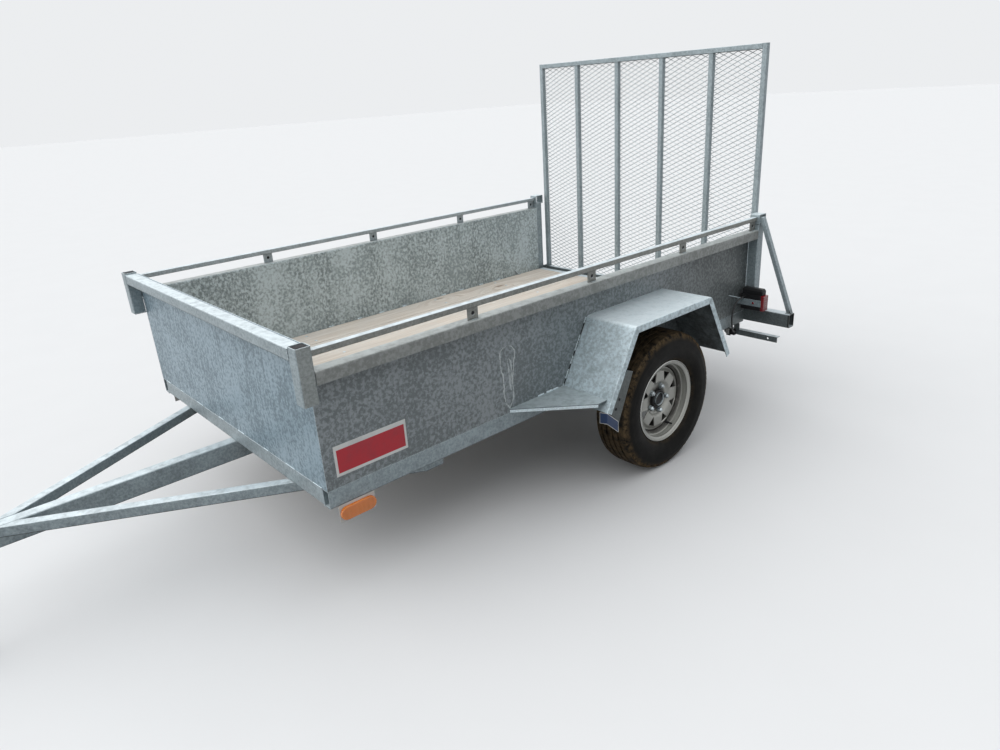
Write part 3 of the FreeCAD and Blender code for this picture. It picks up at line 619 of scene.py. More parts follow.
def boards():
    """Weathered softwood: each board has its own tone, grain and knots."""
    coat = Coat("Weathered boards")
    x, y, z = coat.place.parts()
    index = (x + 0.747).maths("DIVIDE", 0.1864).maths("FLOOR")
    tone = index.node("TexWhiteNoise", {"W": index}, noise_dimensions="1D")
    shifted = x.node("CombineXYZ", {0: x, 1: y + tone * 40.0, 2: z})
    knots = x.node("TexVoronoi", {"Vector": shifted.stretched((4.5, 1.6, 4.5)), "Scale": 1.0}, "Distance")
    bent = x.node("CombineXYZ", {0: knots.rise(0.0, 0.35, 0.10, 0.0)})
    warped = x.node("VectorMath", {0: shifted, 1: bent}, operation="ADD")
    rings = warped.stretched((95, 2.2, 95)).cloud(1.0, 6.0, 0.62, 0.6)
    pores = shifted.stretched((520, 9, 520)).cloud(1.0, 3.0, 0.7)
    fibre = rings * 0.7 + pores * 0.3
    colour = fibre.rise(0.40, 0.58).mix(colours().grain[:], colours().board[:])
    colour = tone.rise(0.0, 1.0, 0.0, 0.40).mix(colour, (0.60, 0.49, 0.38))
    grey = shifted.cloud(5.0, 5.0, 0.6).rise(0.40, 0.66)
    colour = (grey * 0.55).mix(colour, (0.60, 0.57, 0.52))
    colour = (knots.fall(0.06, 0.10) * 0.85).mix(colour, (0.17, 0.095, 0.05))
    coat.set(Base_Color=colour, Roughness=fibre.rise(0.3, 0.7, 0.86, 0.66))
    return coat.raised(fibre, 0.35, 0.0012)


def wheel_radius_of(place):
    """Distance from the wheels' axis."""
    y, z = place.stretched((1, 1, 1), tuple(-AXLE)).parts()[1:]
    return y.node("VectorMath", {0: y.node("CombineXYZ", {1: y, 2: z})}, "Value", operation="LENGTH")


def rubber():
    """Tyre rubber with dry dust on the shoulder and in the grooves of the tread."""
    coat = Coat("Tyre rubber")
    radius = wheel_radius_of(coat.place)
    outer = TYRE[1].z - AXLE.z
    grain = coat.use("grain", Color=colours().rubber[:], Worn=(0.017, 0.016, 0.014), Scale=600.0, Wear=0.7)
    tread = radius.rise(outer - 0.034, outer - 0.012)
    groove = tread * radius.fall(outer - 0.0075, outer - 0.0045)
    foot = radius.fall(0.178, 0.198)
    spots = coat.place.cloud(38.0, 7.0, 0.68).rise(0.38, 0.60)
    dusty = (tread * 0.60).most((foot * 0.3).most(groove)) * spots
    coat.set(Base_Color=dusty.mix(grain["Color"], colours().dust[:]), Specular_IOR_Level=0.10,
             Roughness=dusty.rise(0.0, 1.0, 0.58, 0.92))
    ridges = (radius * 900.0).maths("SINE") * radius.between(0.205, 0.215, 0.262, 0.270)
    return coat.raised(ridges * 0.5 + grain["Height"] * 0.4, 0.35)


# steps of the rim's well: nearer and farther end from the wheel's middle plane, and depth below the rim
# painted shade, mixed with dirt, in the corners of the well's steps
SHADED_STEPS = ((0.0520, 0.0580, 0.020), (0.0290, 0.0330, 0.026), (0.0165, 0.0205, 0.032))
# painted highlights on the ridges of the well's steps
HIGHLIGHT_STEPS = ((0.0590, 0.0620, 0.015), (0.0350, 0.0395, 0.018), (0.0215, 0.0250, 0.026))


def wheel_paint():
    """Satin silver paint with painted highlights on the rolled lip and the well's ridges, and painted shade,
    mixed with dirt, in the steps of the well, the groove, round the hub and on the inboard side.
    """
    coat = Coat("Silver wheel paint")
    radius = wheel_radius_of(coat.place)
    across = abs(coat.place.parts()[0])
    silver, bright = colours().wheel[:], (0.86, 0.87, 0.84)
    grain = coat.use("grain", Color=silver, Worn=tuple(0.78 * c for c in silver), Scale=1500.0, Wear=0.6)
    lip = radius.rise(RIM - 0.004, RIM - 0.002)
    masks = []
    for steps in (SHADED_STEPS, HIGHLIGHT_STEPS):
        mask = 0.0
        for near, far, deep in steps:
            near, far, foot = WHEEL.x + near, WHEEL.x + far, RIM - deep
            band = across.between(near - 0.001, near, far, far + 0.001) * radius.rise(foot, foot + 0.001)
            mask = band.most(mask)
        masks.append(mask)
    shade_and_dirt, ridge_highlight = masks
    # painted highlights on the rolled lip and on the steps' ridges
    colour = (lip * 0.80).mix(grain["Color"], bright)
    colour = (ridge_highlight * 0.7).mix(colour, bright)
    # painted shade, mixed with dirt, in the disc's groove, round the hub and on the inboard side
    groove = radius.between(0.1400, 0.1425, 0.152, 0.156)
    centre = radius.fall(0.049, 0.064)
    back = across.fall(WHEEL.x - 0.004, WHEEL.x + 0.004)
    shade_and_dirt = shade_and_dirt.most(groove).most(centre.most(back))
    shade_and_dirt = shade_and_dirt * coat.place.cloud(45.0, 6.0, 0.66).rise(0.25, 0.50, 0.6, 1.0)
    coat.set(Base_Color=(shade_and_dirt * 0.93).mix(colour, (0.035, 0.032, 0.028)),
             Roughness=shade_and_dirt.rise(0.0, 1.0, 0.34, 0.8), Metallic=0.35, Coat_Weight=0.15, Coat_Roughness=0.25)
    return coat.raised(grain["Height"], 0.08, 0.0004)


def moulded(name, colour, worn, rough, scale=420.0, wear=0.35, coating=0.0, depth=0.2, shine=0.5):
    """Plain moulded or painted pieces; the colour is a value or the name of one of the trailer's colours."""
    coat = Coat(name)
    colour = getattr(colours(), colour)[:] if isinstance(colour, str) else colour
    grain = coat.use("grain", Color=colour, Worn=worn, Scale=scale, Wear=wear)
    coat.set(Base_Color=grain["Color"], Roughness=grain["Mask"].rise(0.0, 1.0, rough, min(1.0, rough + 0.22)),
             Coat_Weight=coating, Specular_IOR_Level=shine)
    return coat.raised(grain["Height"], depth, 0.0005)


def lens(name, colour, ribs):
    """Ribbed lamp plastic in one of the trailer's colours."""
    coat = Coat(name)
    colour = getattr(colours(), colour)[:]
    grain = coat.use("grain", Color=colour, Worn=tuple(0.55 * c for c in colour), Scale=160.0, Wear=0.5)
    ribbed = {"Vector": coat.place.stretched(ribs), "Scale": 1.0, "Distortion": 0.0}
    wave = coat.place.node("TexWave", ribbed, "Fac", wave_type="BANDS", bands_direction="DIAGONAL",
                           wave_profile="SIN")
    light = tuple(min(1.0, 1.9 * c + 0.01) for c in colour)
    coat.set(Base_Color=(wave * 0.35).mix(grain["Color"], light), Roughness=0.16, Coat_Weight=0.6,
             Subsurface_Weight=0.15, Subsurface_Scale=0.01)
    return coat.raised(wave, 0.5, 0.0015)


def blank_label():
    """A blank sticker: a pale sheet with a plain red band, scuffed."""
    coat = Coat("Blank label")
    y, z = coat.place.parts()[1:]
    band = z.between(0.4935, 0.4945, 0.5735, 0.5745) * y.between(-0.5375, -0.5365, -0.2825, -0.2815)
    grain = coat.use("grain", Color=(0.74, 0.74, 0.72), Worn=(0.50, 0.50, 0.48), Scale=90.0, Wear=0.5)
    red = grain["Mask"].mix((0.48, 0.012, 0.026), (0.36, 0.02, 0.035))
    coat.set(Base_Color=band.mix(grain["Color"], red), Roughness=0.34)
    return coat.raised(grain["Height"], 0.05, 0.0003)


# each finish: the record's slot that it stands for, what makes it, and its settings
FINISHES = {
    "tube": ("galvanised_tube", galvanised, dict(
        name="Galvanised tube", tone=0.90, marks=tube_marks_and_painted_shade, tint=(0.94, 1.0, 1.02))),
    "rail": ("galvanised_tube", galvanised, dict(
        name="Galvanised rail", tone=1.05, grime=0.10, marks=rail_painted_reflection)),
    "weld": ("galvanised_tube", galvanised, dict(
        name="Galvanised weld", tone=1.9, patch=30.0, spot=180.0, contrast=0.5, streaks=0.0,
        grime=0.1, tint=(1.0, 1.04, 1.05))),
    # The side sheet's darker tone is painted shade, for the dark ground that its outer faces mirror, and the
    # front sheet's lighter, bluish tone is painted sky light; both are one galvanised sheet.
    "side": ("galvanised_sheet", galvanised, dict(
        name="Galvanised side sheet", tone=0.62, patch=6.0, spot=72.0, contrast=1.6, bands=0.20,
        streaks=0.12, grime=0.20, level=0.50, marks=side_marks_and_painted_light)),
    "front": ("galvanised_sheet", galvanised, dict(
        name="Galvanised front sheet", tone=0.84, patch=5.0, spot=80.0, contrast=1.25, bands=0.05,
        streaks=0.60, grime=0.15, level=0.50, tint=(0.80, 0.96, 1.07))),
    "fender": ("galvanised_sheet", galvanised, dict(
        name="Galvanised fender sheet", tone=1.58, patch=9.0, spot=65.0, contrast=0.85, streaks=0.10,
        grime=0.20, level=0.44, tint=(0.97, 1.03, 1.05))),
    "mesh": ("galvanised_mesh", galvanised, dict(
        name="Galvanised mesh", tone=1.35, patch=20.0, spot=160.0, contrast=0.5, streaks=0.0,
        grime=0.2, level=0.5, bump=0.05)),
    "plated": ("jack_zinc", galvanised, dict(
        name="Zinc plate", tone=1.5, patch=30.0, spot=220.0, contrast=0.4, streaks=0.0, grime=0.30,
        level=0.5, metallic=0.7, rough=(0.36, 0.26), bump=0.08)),
    "boards": ("deck_wood", boards, {}),
    "rubber": ("tyre_rubber", rubber, {}),
    "wheel": ("wheel_silver", wheel_paint, {}),
    "label": ("marker_white", blank_label, {}),
    "red": ("lens_red", lens, dict(
        name="Red lens", colour="red", ribs=(0.0, 0.0, 150.0))),
    "amber": ("lens_amber", lens, dict(
        name="Amber lens", colour="amber", ribs=(0.0, 170.0, 0.0))),
    "hub": ("hub_black", moulded, dict(
        name="Hub paint", colour="black", worn=(0.035, 0.03, 0.025), rough=0.42, wear=0.6,
        depth=0.35, shine=0.2)),
    "lamp": ("lamp_black", moulded, dict(
        name="Lamp plastic", colour="black", worn=(0.022, 0.021, 0.020), rough=0.45, wear=0.6,
        shine=0.25)),
    "marker": ("marker_white", moulded, dict(
        name="Marker paint", colour=(0.62, 0.62, 0.60), worn=(0.38, 0.35, 0.30), rough=0.36,
        scale=200.0, wear=0.5, coating=0.2)),
    "cap": ("cap_black", moulded, dict(
        name="Plug plastic", colour=(0.016, 0.016, 0.018), worn=(0.03, 0.03, 0.03), rough=0.6,
        shine=0.25)),
    "cable": ("cable_black", moulded, dict(
        name="Cable jacket", colour=(0.010, 0.010, 0.011), worn=(0.03, 0.029, 0.027), rough=0.42,
        scale=900.0, wear=0.5)),
    "spring": ("spring_steel", moulded, dict(
        name="Spring paint", colour=(0.016, 0.016, 0.017), worn=(0.085, 0.045, 0.024), rough=0.48,
        scale=260.0, wear=0.55, depth=0.4)),
    "tag": ("marker_white", moulded, dict(
        name="Blank blue tag", colour=(0.008, 0.028, 0.088), worn=(0.02, 0.045, 0.11), rough=0.4,
        scale=120.0, wear=0.4)),
}


def material(finish):
    """A finish's material, made once."""
    if finish not in MADE:
        make, settings = FINISHES[finish][1:]
        MADE[finish] = make(**settings)
    return MADE[finish]


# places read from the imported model

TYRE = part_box("tyre_left")
AXLE = Vector((0, *((TYRE[0] + TYRE[1]) / 2)[1:]))
WHEEL = Vector(((TYRE[0].x + TYRE[1].x) / 2, AXLE.y, AXLE.z))
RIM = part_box("rim_left")[1].z - AXLE.z

STUBS = (0.025, 0.635, 1.245, 1.832)   # middles of the tie rails' stubs, along Y

# square tubes: node, piece, axis, wall, share of the corner radius, and the body where it isn't the chassis
TUBES = (
    ("side_rails", "bed_side_tubes", "Y", 0.003, 1.0),
    ("cross_members", "bed_cross_tubes", "X", 0.003, 1.0),
    ("front_posts", "front_post_tubes", "Z", 0.003, 1.0),
    ("front_rail", "front_rail_tube", "X", 0.003, 1.0),
    ("rear_tube", "rear_cross_tube", "X", 0.004, 1.2),
    ("rear_posts", "rear_post_tubes", "Z", 0.003, 1.0),
    ("latch_blocks", "latch_tubes", "X", 0.004, 0.8),
    ("tongue", "tongue_tube", "Y", 0.004, 1.2),
    ("gate_posts", "gate_post_tubes", "Z", 0.002, 0.6, "gate"),
    ("gate_rails", "gate_rail_tubes", "X", 0.002, 0.6, "gate"),
    ("gate_ribs", "gate_rib_tubes", "Z", 0.002, 0.6, "gate"),
)

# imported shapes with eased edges: node, piece, radius, finish, and the body where it isn't the chassis
EASED = (
    ("tie_rails", "tie_down_rails", 0.0015, "rail"),
    ("rear_braces", "rear_brace_bars", 0.0015, "tube"),
    ("fender_steps", "fender_step_plates", 0.001, "tube"),
    ("drawbar_sides", "drawbar_side_tubes", 0.004, "tube"),
    ("gate_lugs", "gate_hinge_lugs", 0.001, "tube"),
    ("lamp_straps", "lamp_strap_bars", 0.0008, "tube"),
    ("lamp_bars", "drilled_angles", 0.0006, "tube"),
    ("marker_brackets", "marker_hangers", 0.0006, "marker"),
    ("axle", "axle_beam", 0.004, "tube"),
    ("leaf_springs", "leaf_spring_stacks", 0.001, "spring"),
    ("spring_hangers", "spring_hanger_plates", 0.001, "tube"),
    ("axle_clamps", "axle_clamp_bolts", 0.0015, "plated"),
    ("coupler", "coupler_body", 0.004, "plated"),
    ("coupler_latch", "coupler_lever", 0.0015, "plated"),
    ("jack_bracket", "jack_bracket_plate", 0.0015, "plated"),
    ("jack_housing", "jack_outer_tube", 0.0012, "plated", "jack_housing"),
    ("jack_leg", "jack_leg_and_foot", 0.0015, "plated", "jack_leg"),
    ("jack_crank", "jack_crank_arm", 0.0012, "plated", "jack_crank"),
    ("gate_pins", "gate_hinge_pins", 0.001, "plated", "gate"),
)


class TRAILER_OT_tubes(bpy.types.Operator):
    """Square tubes of the frame, the posts and the ramp"""
    bl_idname = "trailer.tubes"
    bl_label = "Tubes"

    def execute(self, context):
        corner = context.scene.trailer_sizes.tube_corner
        for node, name, axis, wall, share, *body in TUBES:
            made = joined(*(tube(low, high, axis, wall, corner * share) for low, high in solids(node)))
            piece(name, made, "tube", node, *body)
        return {"FINISHED"}


class TRAILER_OT_fittings(bpy.types.Operator):
    """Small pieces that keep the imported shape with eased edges"""
    bl_idname = "trailer.fittings"
    bl_label = "Fittings"

    def execute(self, context):
        for node, name, radius, finish, *body in EASED:
            made = merged(node)
            piece(name, rounded(made, corners_of(made, 40), radius), finish, node, *body)
        return {"FINISHED"}


class TRAILER_OT_sheets(bpy.types.Operator):
    """Folded sheet sides and the front panel"""
    bl_idname = "trailer.sheets"
    bl_label = "Sheets"

    def execute(self, context):
        low, high = solids("side_panels")[-1]
        drop = min(co.z for co in points_where("side_panels", 0, high.x))
        line = [(low.x, low.y, low.z), (low.x, low.y, high.z), (high.x, low.y, high.z), (high.x, low.y, drop)]
        side = pulled(line, (0, high.y - low.y, 0), (0, 0, 1), context.scene.trailer_sizes.fold)
        piece("side_panel_sheets", twin(thickened(side, SHEET)), "side", "side_panels")
        piece("front_panel_sheet", block(*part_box("front_panel"), 0.0008), "front", "front_panel")
        return {"FINISHED"}


class TRAILER_OT_deck(bpy.types.Operator):
    """Floor boards and the bolts that hold them"""
    bl_idname = "trailer.deck"
    bl_label = "Deck"

    def execute(self, context):
        edge = context.scene.trailer_sizes.plank_edge
        rows = sorted((low.y + high.y) / 2 for low, high in solids("cross_members"))
        planks, bolts = [], []
        for i, (low, high) in enumerate(solids("floor_planks")):
            top = high.z - 0.0006 * (1 + math.sin(2.1 * i))
            planks.append(block(low, (high.x, high.y, top), edge))
            middle = (low.x + high.x) / 2
            bolts.extend(dome((x, max(y, low.y + 0.02), top), "Z", 0.008, 0.0022)
                         for y in rows for x in (middle - 0.05, middle + 0.05))
        piece("deck_boards", joined(*planks), "boards", "floor_planks")
        piece("deck_bolts", joined(*bolts), "plated")
        return {"FINISHED"}


class TRAILER_OT_fenders(bpy.types.Operator):
    """Flat-topped fenders with their turned-down edge"""
    bl_idname = "trailer.fenders"
    bl_label = "Fenders"

    def execute(self, context):
        flange = 0.028
        low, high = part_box("fender_left")
        level = [co.y for co in points_where("fender_left", 2, high.z)]
        line = [(low.x, low.y, low.z), (low.x, min(level), high.z), (low.x, max(level), high.z),
                (low.x, high.y, low.z)]
        for node in ("fender_left", "fender_right"):
            skin = pulled(line, (high.x - low.x, 0, 0), (0, 0, 1), 0.012)
            skin.normal_update()
            rim = [e for e in skin.edges if all(v.co.x > high.x - MERGE for v in e.verts)]
            way = {self.place(v): -v.normal * v.calc_shell_factor() for e in rim for v in e.verts}
            for v in only(BMVert, bmesh.ops.extrude_edge_only(skin, edges=rim)["geom"]):
                v.co += flange * way[self.place(v)]
            facing(skin, (0, 0, 1))
            rounded(skin, [e for e in folds_of(skin) if e.calc_face_angle() > 1.2], 0.004, 3)
            thickened(skin, SHEET)
            piece(node + "_sheet", mirrored(skin) if node == "fender_right" else skin, "fender", node)
        return {"FINISHED"}

    @staticmethod
    def place(vert):
        """A point's place as a key, to the hundredth of a millimetre."""
        return tuple(round(c, 5) for c in vert.co)


class TRAILER_OT_ramp_mesh(bpy.types.Operator):
    """The ramp's expanded metal at its real pitch"""
    bl_idname = "trailer.ramp_mesh"
    bl_label = "Ramp mesh"

    def execute(self, context):
        sizes = context.scene.trailer_sizes
        low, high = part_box("gate_mesh")
        half_x, half_z = sizes.mesh_long / 2, sizes.mesh_short / 2
        columns = math.ceil((high.x - low.x) / (2 * half_x))
        rows = math.ceil((high.z - low.z) / (2 * half_z))
        run = math.hypot(half_x, half_z)
        overlap, thick, twist = 1.06, 0.0016, 0.35
        cell = bmesh.new()
        for row in (0, 1):
            for side in (-1, 1):
                start = Vector((low.x + row * half_x, (low.y + high.y) / 2, low.z + row * half_z))
                middle = start + Vector((side * half_x, 0, half_z)) / 2
                lean = Matrix.Rotation(-side * math.atan2(half_z, half_x), 4, "Y")
                size = Matrix.Diagonal((run * overlap, thick, sizes.strand, 1))
                bmesh.ops.create_cube(cell, size=1, matrix=Matrix.Translation(middle) @ lean
                                      @ Matrix.Rotation(side * twist, 4, "X") @ size)
        self.repeat(cell, columns, Vector((2 * half_x, 0, 0)))
        self.repeat(cell, rows, Vector((0, 0, 2 * half_z)))
        for axis, bound, way in (("X", low, -1), ("X", high, 1), ("Z", low, -1), ("Z", high, 1)):
            cut = bmesh.ops.bisect_plane(cell, geom=whole(cell), dist=MERGE, plane_co=bound,
                                         plane_no=AXES[axis] * way, clear_outer=True)["geom_cut"]
            bmesh.ops.holes_fill(cell, edges=only(BMEdge, cut), sides=8)
        piece("ramp_expanded_metal", cell, "mesh", "gate_mesh", "gate")
        return {"FINISHED"}

    @staticmethod
    def repeat(bm, count, step):
        """Copies the whole shape a number of times along a step."""
        first = whole(bm)
        for i in range(1, count):
            made = bmesh.ops.duplicate(bm, geom=first)["geom"]
            bmesh.ops.translate(bm, vec=step * i, verts=only(BMVert, made))


def both_wheels(name, bm, finish, node=None):
    """A wheel's piece on the left and its mirror image on the right."""
    for side, shape in (("left", bm.copy()), ("right", mirrored(bm))):
        piece(f"{name}_{side}", shape, finish, node and f"{node}_{side}", f"wheel_{side}")


class TRAILER_OT_tyres(bpy.types.Operator):
    """Tyres with ribs, shoulder blocks and a moulded sidewall"""
    bl_idname = "trailer.tyres"
    bl_label = "Tyres"

    def execute(self, context):
        sizes = context.scene.trailer_sizes
        radius, half, deep = TYRE[1].z - AXLE.z, (TYRE[1].x - TYRE[0].x) / 2, sizes.tread_depth
        right = [(0.057, RIM - 0.008), (0.0605, RIM - 0.001), (0.066, RIM + 0.004), (0.074, RIM + 0.013),
                 (0.082, RIM + 0.026), (half - 0.0015, RIM + 0.042), (half - 0.0002, RIM + 0.053),
                 (half - 0.0004, RIM + 0.062), (half - 0.0024, RIM + 0.077), (half - 0.0020, RIM + 0.079),
                 (half - 0.0066, RIM + 0.094), (half - 0.0105, radius - 0.0190),
                 (half - 0.0135, radius - 0.0130), (half - 0.0185, radius - 0.0072),
                 (half - 0.024, radius - 0.0045)]
        groove, crown = 0.0045, 0.0030
        for middle in (0.042, 0.014):
            for share, drop in ((1, 0), (0.7, deep), (-0.7, deep), (-1, 0)):
                x = middle + groove * share
                right.append((x, radius - drop - crown * (x / half) ** 2))
        tyre = lathe([(-x, r) for x, r in right] + right[::-1], WHEEL, sizes.tread_blocks * 2)
        blocks = []
        for face in tyre.faces:
            middle = face.calc_center_median() - WHEEL
            turn = math.atan2(middle.z, middle.y) / math.tau * sizes.tread_blocks * 2
            shoulder = half - 0.020 < abs(middle.x) < half - 0.009 and middle.yz.length > radius - 0.02
            if shoulder and int(turn % 2) == 0:
                blocks.append(face)
        tyre.normal_update()
        bmesh.ops.inset_region(tyre, faces=blocks, thickness=0.0012, depth=-0.0022, use_even_offset=True)
        both_wheels("tyre", tyre, "rubber", "tyre")
        return {"FINISHED"}


def eased(value, low, high):
    """A smooth step from nought to one between two values."""
    share = min(1.0, max(0.0, (value - low) / (high - low)))
    return share * share * (3 - 2 * share)


class TRAILER_OT_rims(bpy.types.Operator):
    """Rims with a rolled lip and stepped well, and their dished, vented discs"""
    bl_idname = "trailer.rims"
    bl_label = "Rims"

    def execute(self, context):
        flange = [(0.0560, RIM - 0.0165), (0.0590, RIM - 0.0150), (0.0612, RIM - 0.0100),
                  (0.0622, RIM - 0.0040), (0.0638, RIM - 0.0012), (0.0658, RIM - 0.0010),
                  (0.0674, RIM - 0.0034)]
        profile = [(-x, r) for x, r in flange[::-1]] + [
            (-0.040, RIM - 0.0180), (-0.024, RIM - 0.0200), (-0.016, RIM - 0.0310), (0.0190, RIM - 0.0305),
            (0.0215, RIM - 0.0245), (0.0305, RIM - 0.0235), (0.0335, RIM - 0.0170), (0.0375, RIM - 0.0160),
            (0.0400, RIM - 0.0180)] + flange
        barrel = lathe(profile, WHEEL, 96, closed=False)
        barrel.normal_update()
        inner = min(barrel.faces, key=lambda f: (f.calc_center_median() - WHEEL).yz.length)
        spoke = inner.calc_center_median() - WHEEL
        if inner.normal.yz.dot(spoke.yz) < 0:
            bmesh.ops.reverse_faces(barrel, faces=barrel.faces)
        both_wheels("rim", joined(thickened(barrel, SHEET), self.disc()), "wheel", "rim")
        both_wheels("valve", self.valve(), "cap")
        return {"FINISHED"}

    @staticmethod
    def disc():
        """The pressed disc: one sector with its vent cut out, turned eight times and dished."""
        count = 8
        radii = (0.044, 0.056, 0.066, 0.071, 0.076, 0.082, 0.092, 0.106, 0.120, 0.126, 0.131, 0.136, 0.1405,
                 0.1420, 0.1425)
        sector = chain([(0, 0, r) for r in radii])
        turned(sector, 180 / count, "X")
        bmesh.ops.spin(sector, geom=sector.verts[:] + sector.edges[:], cent=ORIGIN, axis=(1, 0, 0),
                       dvec=ORIGIN, angle=-math.tau / count, steps=8)
        corners = [Vector((0, y, z)) for y, z in ((0.0235, 0.1228), (-0.0235, 0.1228), (0, 0.0800))]
        middle = Vector((0, 0, 0.115))
        planes = []
        for start, end in zip(corners, corners[1:] + corners[:1]):
            outward = (end - start).cross(AXES["X"]).normalized()
            if outward.dot(start - middle) < 0:
                outward.negate()
            planes.append((start, outward))
        for point, outward in planes:
            near = [f for f in sector.faces if 0.08 < f.calc_center_median().yz.length < 0.135]
            geom = list({v for f in near for v in f.verts} | {e for f in near for e in f.edges}) + near
            bmesh.ops.bisect_plane(sector, geom=geom, dist=MERGE, plane_co=point, plane_no=outward)
        gone = [f for f in sector.faces
                if all((f.calc_center_median() - point).dot(outward) < 0 for point, outward in planes)]
        bmesh.ops.delete(sector, geom=gone, context="FACES")
        first = whole(sector)
        for i in range(1, count):
            turned(sector, 360 * i / count, "X", bmesh.ops.duplicate(sector, geom=first)["geom"])
        bmesh.ops.remove_doubles(sector, verts=sector.verts, dist=0.0002)
        for v in sector.verts:
            r = v.co.yz.length
            v.co.x = (0.015 + 0.013 * eased(r, 0.066, 0.082) - 0.010 * eased(r, 0.122, 0.136)
                      - 0.022 * eased(r, 0.1405, 0.1425))
        return moved(turned(thickened(facing(sector, (1, 0, 0)), 0.0035), -25, "X"), WHEEL)

    @staticmethod
    def valve():
        """A rubber valve stem that stands out of the well."""
        made = joined(rod((0.020, 0, RIM - 0.030), "X", 0.0065, 0.014, 14, 0.0045),
                      rod((0.034, 0, RIM - 0.030), "X", 0.0038, 0.018, 14, edge=0.001))
        return moved(turned(made, -154, "X"), WHEEL)


class TRAILER_OT_hubs(bpy.types.Operator):
    """Open black hubs, their bright rings and the wheel nuts"""
    bl_idname = "trailer.hubs"
    bl_label = "Hubs"

    def execute(self, context):
        hub = lathe([(-0.060, 0.022), (-0.060, 0.036), (0.000, 0.036), (0.002, 0.066), (0.0105, 0.068),
                     (0.0115, 0.0435), (0.0230, 0.0425), (0.0270, 0.0400), (0.0282, 0.0365), (0.0268, 0.0325),
                     (0.0120, 0.0295), (0.004, 0.022)], WHEEL, 48)
        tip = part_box("axle")[1].x - WHEEL.x + 0.0006
        cap = lathe([(tip, 0.0300), (tip, 0.0005), (tip + 0.0020, 0.0005), (tip + 0.0030, 0.0150),
                     (tip + 0.0024, 0.0280)], WHEEL)
        both_wheels("hub", joined(hub, cap), "hub", "hub")
        ring = lathe([(0.0130, 0.0290), (0.0310, 0.0290), (0.0322, 0.0280), (0.0310, 0.0262),
                      (0.0130, 0.0262)], WHEEL)
        both_wheels("hub_cap_rings", ring, "plated")
        pitch, nuts = 0.05715, []
        for i in range(5):
            nut = joined(rod((0.0190, 0, pitch), "X", 0.0112, 0.0125, 6, edge=0.0014),
                         rod((0.0315, 0, pitch), "X", 0.0084, 0.0035, 16, 0.0062),
                         rod((0.0140, 0, pitch), "X", 0.0095, 0.0052, 16, 0.0122))
            nuts.append(turned(nut, 72 * i - 95, "X"))
        both_wheels("nuts", moved(joined(*nuts), WHEEL), "plated")
        return {"FINISHED"}


class TRAILER_OT_caps(bpy.types.Operator):
    """Inset plugs in the front posts"""
    bl_idname = "trailer.caps"
    bl_label = "Caps"

    def execute(self, context):
        plugs = joined(*(block(low, high, 0.003, 3) for low, high in solids("post_caps")))
        piece("post_plugs", plugs, "cap", "post_caps")
        return {"FINISHED"}


class TRAILER_OT_tail_lamps(bpy.types.Operator):
    """Tail lamps: body, wrapped red lens, reflector and sloped box"""
    bl_idname = "trailer.tail_lamps"
    bl_label = "Tail lamps"

    def execute(self, context):
        low, high = solids("tail_lamp_bodies")[-1]
        piece("tail_lamp_housings", twin(block(low, high, 0.003)), "lamp", "tail_lamp_bodies")
        strap_low, strap_high = solids("lamp_straps")[-1]
        spot = Vector((0.835, strap_low.y, (strap_low.z + strap_high.z) / 2))
        ring = lathe([(0.0002, 0.0085), (0.0012, 0.0085), (0.0016, 0.0078), (0.0012, 0.0066),
                      (0.0002, 0.0066)], ORIGIN, 24)
        dot = dome(ORIGIN, "X", 0.0068, 0.0022, 16)
        for bm in (ring, dot):
            moved(turned(bm, -90, "Z"), spot)
        piece("tail_lamp_reflector_rings", twin(ring), "plated")
        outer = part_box("tail_lamp_lenses")[1].x
        rib, margin = 0.0095, 0.006
        ribs = [block((outer - 0.0008, low.y + margin + rib * i, low.z + margin),
                      (outer, low.y + rib * (i + 1), high.z - margin)) for i in range(4)]
        made = merged("tail_lamp_lenses")
        rounded(made, corners_of(made, 40), 0.003)
        piece("tail_lamp_red_lenses", joined(made, twin(joined(dot, *ribs))), "red", "tail_lamp_lenses")
        low, high = solids("tail_lamp_boxes")[-1]
        box = block(low, high)
        top = [e for e in box.edges if all(v.co.z > high.z - MERGE for v in e.verts)]
        slope = [e for e in top if all(v.co.y < low.y + MERGE for v in e.verts)
                 or all(v.co.x > high.x - MERGE for v in e.verts)]
        rounded(box, slope, 0.009, 1)
        rounded(box, corners_of(box, 20), 0.002)
        piece("tail_lamp_covers", twin(box), "lamp", "tail_lamp_boxes")
        return {"FINISHED"}


class TRAILER_OT_markers(bpy.types.Operator):
    """Amber side markers on their hangers"""
    bl_idname = "trailer.markers"
    bl_label = "Markers"

    def execute(self, context):
        made = merged("marker_lenses")
        rounded(made, corners_of(made, 60), 0.003)
        low, high = solids("marker_lenses")[-1]
        ribs, count, margin = [], 7, 0.018
        for i in range(count):
            y = low.y + margin + i * (high.y - low.y - 2 * margin) / (count - 1)
            ribs.append(block((high.x - 0.002, y - 0.002, low.z + 0.008), (high.x, y + 0.002, high.z - 0.008),
                              0.0008))
        piece("marker_amber_lenses", joined(made, twin(joined(*ribs))), "amber", "marker_lenses")
        return {"FINISHED"}


# the leads' control points on the left side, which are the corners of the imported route
LEAD_ROUTE = ((0.786, 1.790, 0.542), (0.784, 1.752, 0.540), (0.770, 1.722, 0.505), (0.766, 1.712, 0.450),
              (0.764, 1.722, 0.395), (0.752, 1.762, 0.348), (0.736, 1.812, 0.338))


